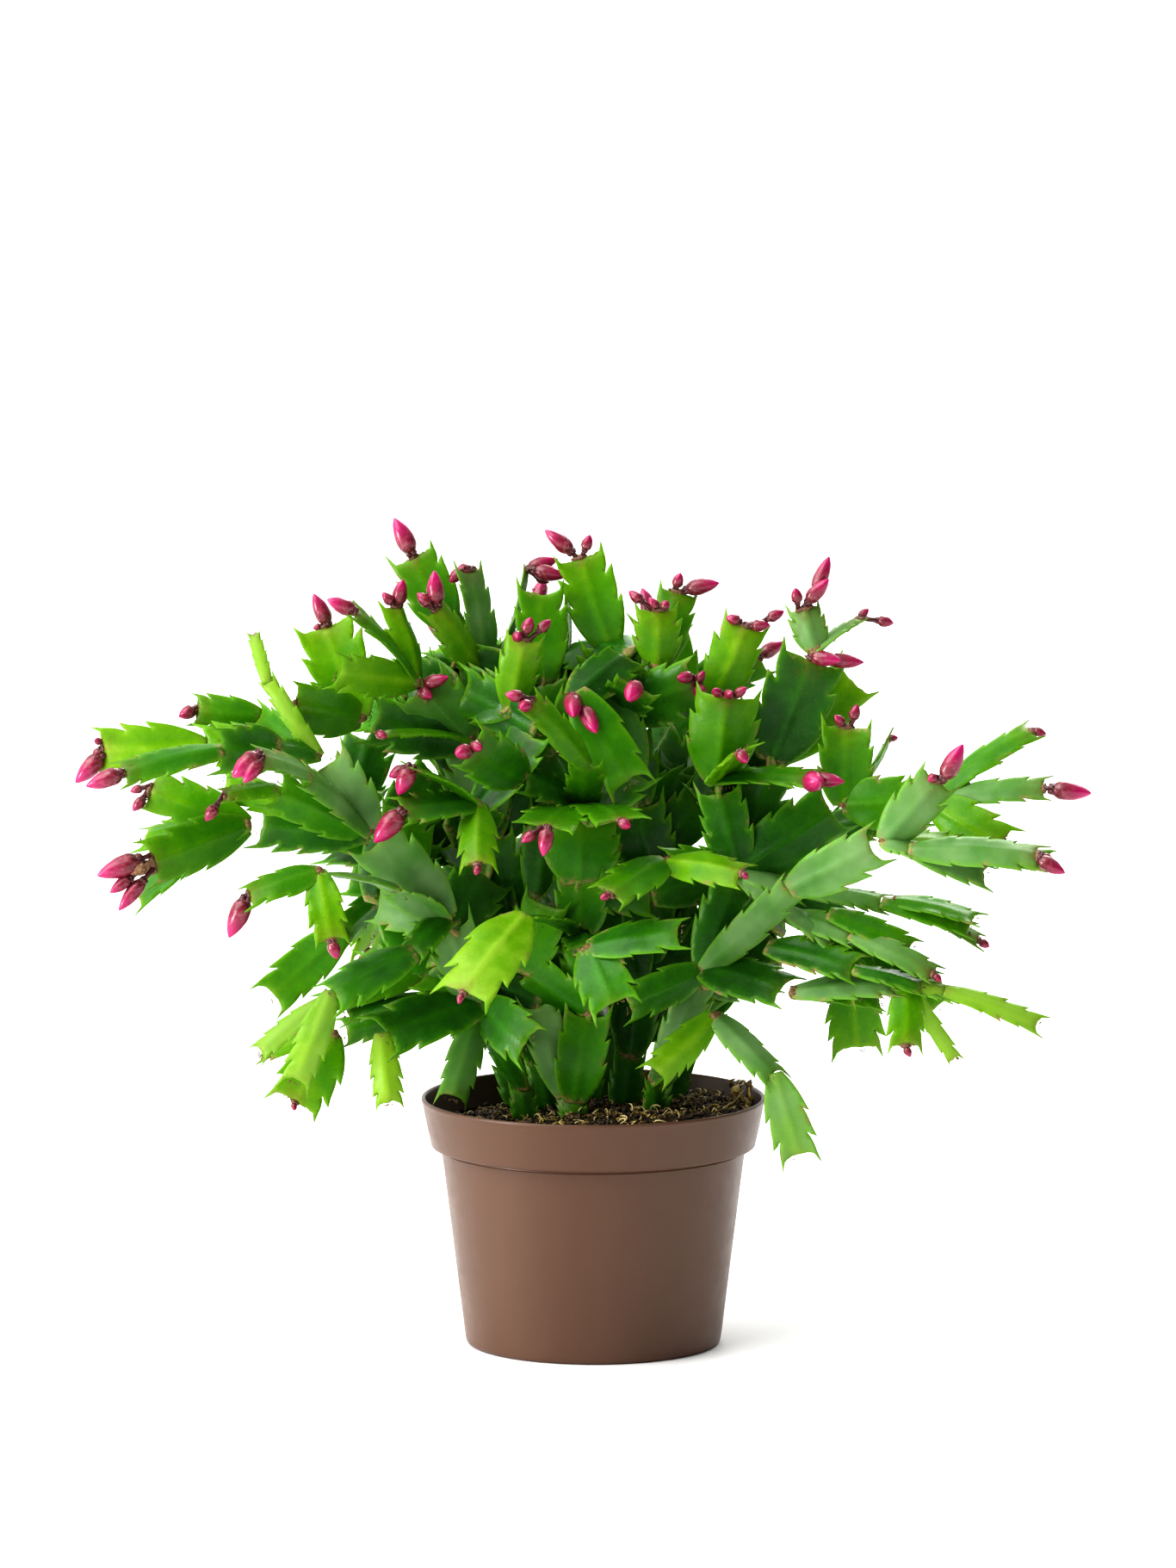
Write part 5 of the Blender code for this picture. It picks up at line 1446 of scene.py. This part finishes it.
def make_litter(material):
    """Crumbs, curled fibres and bark chips on the compost, and tan flakes by the rim on the right."""
    rng = random.Random(LITTER_SEED)
    shape = Shape("litter")

    def spot(most=0.97):
        """A random place on top of the compost."""
        radius = max(0.0, COLLAR_RADIUS * most * math.sqrt(rng.random()) - 1.6 * MM)
        angle = rng.uniform(0, 2 * math.pi)
        x, y = radius * math.cos(angle), radius * math.sin(angle)
        return Vector((x, y, soil_top(x, y)))

    for _ in range(CRUMBS):
        size = rng.uniform(0.4, 1.25) * MM * (1.4 if rng.random() < 0.12 else 1)
        angle = rng.uniform(0, 6.3)
        turn = Matrix.Rotation(angle, 3, Vector((rng.random(), rng.random(), rng.random() + 0.1)))
        axes = [turn @ Vector(axis) * size * rng.uniform(0.6, 1.2) for axis in AXES]
        kind = rng.choice((0.0, 0.04, 0.08, 0.14, 0.2, 0.3, 0.45))
        lump(shape, SMALL_FORM, spot() + Vector((0, 0, size * 0.25)), axes, 0.7, 0, litter=(kind, 0, 0))
    for _ in range(CURLS):
        place = spot(0.96)
        radius = rng.uniform(0.7, 2.2) * MM
        sweep = rng.uniform(1.2, 3.9)
        start = rng.uniform(0, 2 * math.pi)
        roll = Matrix.Rotation(rng.uniform(-0.9, 0.9), 3, "X")
        tilt = roll @ Matrix.Rotation(rng.uniform(-0.9, 0.9), 3, "Y")
        line = []
        for k in range(7):
            angle = start + sweep * k / 6
            grow = radius * (1 + 0.25 * k / 6)
            line.append(place + tilt @ Vector((grow * math.cos(angle), grow * math.sin(angle), 0.25 * MM * k))
                        + Vector((0, 0, 0.45 * MM)))
        thick = rng.uniform(0.16, 0.38) * MM
        kind = rng.choice((0.25, 0.4, 0.5, 0.62, 0.78, 0.92)) + (0.22 if place.y < -15 * MM else 0)
        radii = [thick * part for part in (0.5, 1, 1, 1, 1, 0.9, 0.4)]
        tube(shape, line, radii, 5, 0, litter=(kind, 0, 0))
    for _ in range(CHIPS):
        place = spot(0.95)
        angle = rng.uniform(0, 2 * math.pi)
        ahead = Vector((math.cos(angle), math.sin(angle), rng.uniform(-0.2, 0.35)))
        length = rng.uniform(3, 9) * MM
        line = [place + ahead * length * (k / 4 - 0.5) + Vector((0, 0, (0.5 + rng.uniform(-0.3, 0.4)) * MM))
                for k in range(5)]
        thick = rng.uniform(0.25, 0.6) * MM
        radii = [thick * part for part in (0.6, 1, 1, 0.9, 0.4)]
        tube(shape, line, radii, 6, 0, litter=(rng.choice((0.1, 0.25, 0.4, 0.55)), 0, 0))
    for _ in range(FLAKES):
        angle = rng.uniform(-0.30, 0.34)
        out = COLLAR_RADIUS - rng.uniform(1.8, 8.0) * MM
        height = POT_HEIGHT + rng.uniform(-6.0, 4.5) * MM
        place = Vector((out * math.cos(angle), out * math.sin(angle), height))
        ahead = drawn(rng, (-0.5, 0.5), (-1, 1), (-0.4, 0.6)).normalized()
        length = rng.uniform(3.5, 8.5) * MM
        side = ahead.cross(Vector((rng.uniform(-1, 1), 0.3, 1))).normalized()
        across = side * rng.uniform(0.9, 1.9) * MM
        axes = (ahead * length / 2, across, ahead.cross(side) * rng.uniform(0.25, 0.5) * MM)
        kind = rng.choice((0.5, 0.6, 0.68, 0.76))
        lump(shape, SMALL_FORM, place, axes, 0.9, 0, litter=(kind, 0, 0))
    shape.finish("compost_litter", [material], "soil", ["soil"])


# ---- Stage -----------------------------------------------------------------------------------------

FLOOR_REACH = 60
AIM = Vector((0, 0, 0.2))
# Each light's name, kind, place, size (the sun's in radians), and power.
LIGHTS = (
    ("key", "SUN", (-1.15, -0.60, 1.7), math.radians(55), 2.1),
    ("back", "AREA", (0.5, 1.6, 1.7), 1.1, 22),
    ("side", "AREA", (-1.5, -0.75, 0.20), 0.5, 13),
)
CAMERA_LENS = 213.6
CAMERA_SENSOR = 36
CAMERA_AIM = Vector((-0.002, 0, 0.213))
CAMERA_PITCH = math.radians(7.7)
CAMERA_AWAY = 3.5


def look_at(thing, place, target):
    """Put a light or a camera at a place and turn it to a target."""
    thing.location = place
    thing.rotation_euler = (target - thing.location).to_track_quat("-Z", "Y").to_euler()


def make_stage():
    """A pale floor, soft light, and the camera at the photographed angle."""
    scene = bpy.context.scene
    scene.view_settings.view_transform = "Standard"
    scene.view_settings.look = "High Contrast"
    floor = bpy.data.meshes.new("floor")
    sides = ((-1, -1), (1, -1), (1, 1), (-1, 1))
    floor.from_pydata([(x * FLOOR_REACH, y * FLOOR_REACH, 0) for x, y in sides], [], [(0, 1, 2, 3)])
    floor_piece = put("floor", floor)
    m = Nodes("pale_floor")
    m.paint((0.92, 0.92, 0.92), 0.9, 0.1)
    floor.materials.append(m.material)
    floor_piece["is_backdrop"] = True
    world = bpy.data.worlds.new("studio")
    world.use_nodes = True
    tree = world.node_tree
    place = tree.nodes.new("ShaderNodeTexCoord")
    towards = tree.nodes.new("ShaderNodeVectorMath")
    towards.operation = "DOT_PRODUCT"
    towards.inputs[1].default_value = (-0.72, 0.62, 0.30)
    ramp = tree.nodes.new("ShaderNodeMapRange")
    ramp.interpolation_type = "SMOOTHSTEP"
    tree.links.new(place.outputs["Generated"], towards.inputs[0])
    tree.links.new(towards.outputs["Value"], ramp.inputs["Value"])
    for key, setting in (("From Min", -0.75), ("From Max", 0.75), ("To Min", 0.14), ("To Max", 1.15)):
        ramp.inputs[key].default_value = setting
    sky = tree.nodes["Background"]
    sky.inputs["Color"].default_value = (1, 1, 1, 1)
    tree.links.new(ramp.outputs["Result"], sky.inputs["Strength"])
    scene.world = world
    for name, kind, place, size, power in LIGHTS:
        light = bpy.data.lights.new(name, kind)
        light.energy = power
        setattr(light, "angle" if kind == "SUN" else "size", size)
        look_at(put(name, light), place, AIM)
    camera = bpy.data.cameras.new("camera")
    camera.sensor_width = CAMERA_SENSOR
    camera.lens = CAMERA_LENS
    camera.clip_end = 100
    scene.camera = put("camera", camera)
    away = Vector((0, -math.cos(CAMERA_PITCH), math.sin(CAMERA_PITCH))) * CAMERA_AWAY
    look_at(scene.camera, CAMERA_AIM + away, CAMERA_AIM)


def corners():
    return [list(corner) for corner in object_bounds()]


for thing in list(bpy.data.objects):
    bpy.data.objects.remove(thing)
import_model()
make_stage()
make_pot(pot_material())
make_compost(compost_material())
make_litter(litter_material())
all_tips = make_plant(leaf_material(), cork_material())
make_buds(all_tips, bud_material())
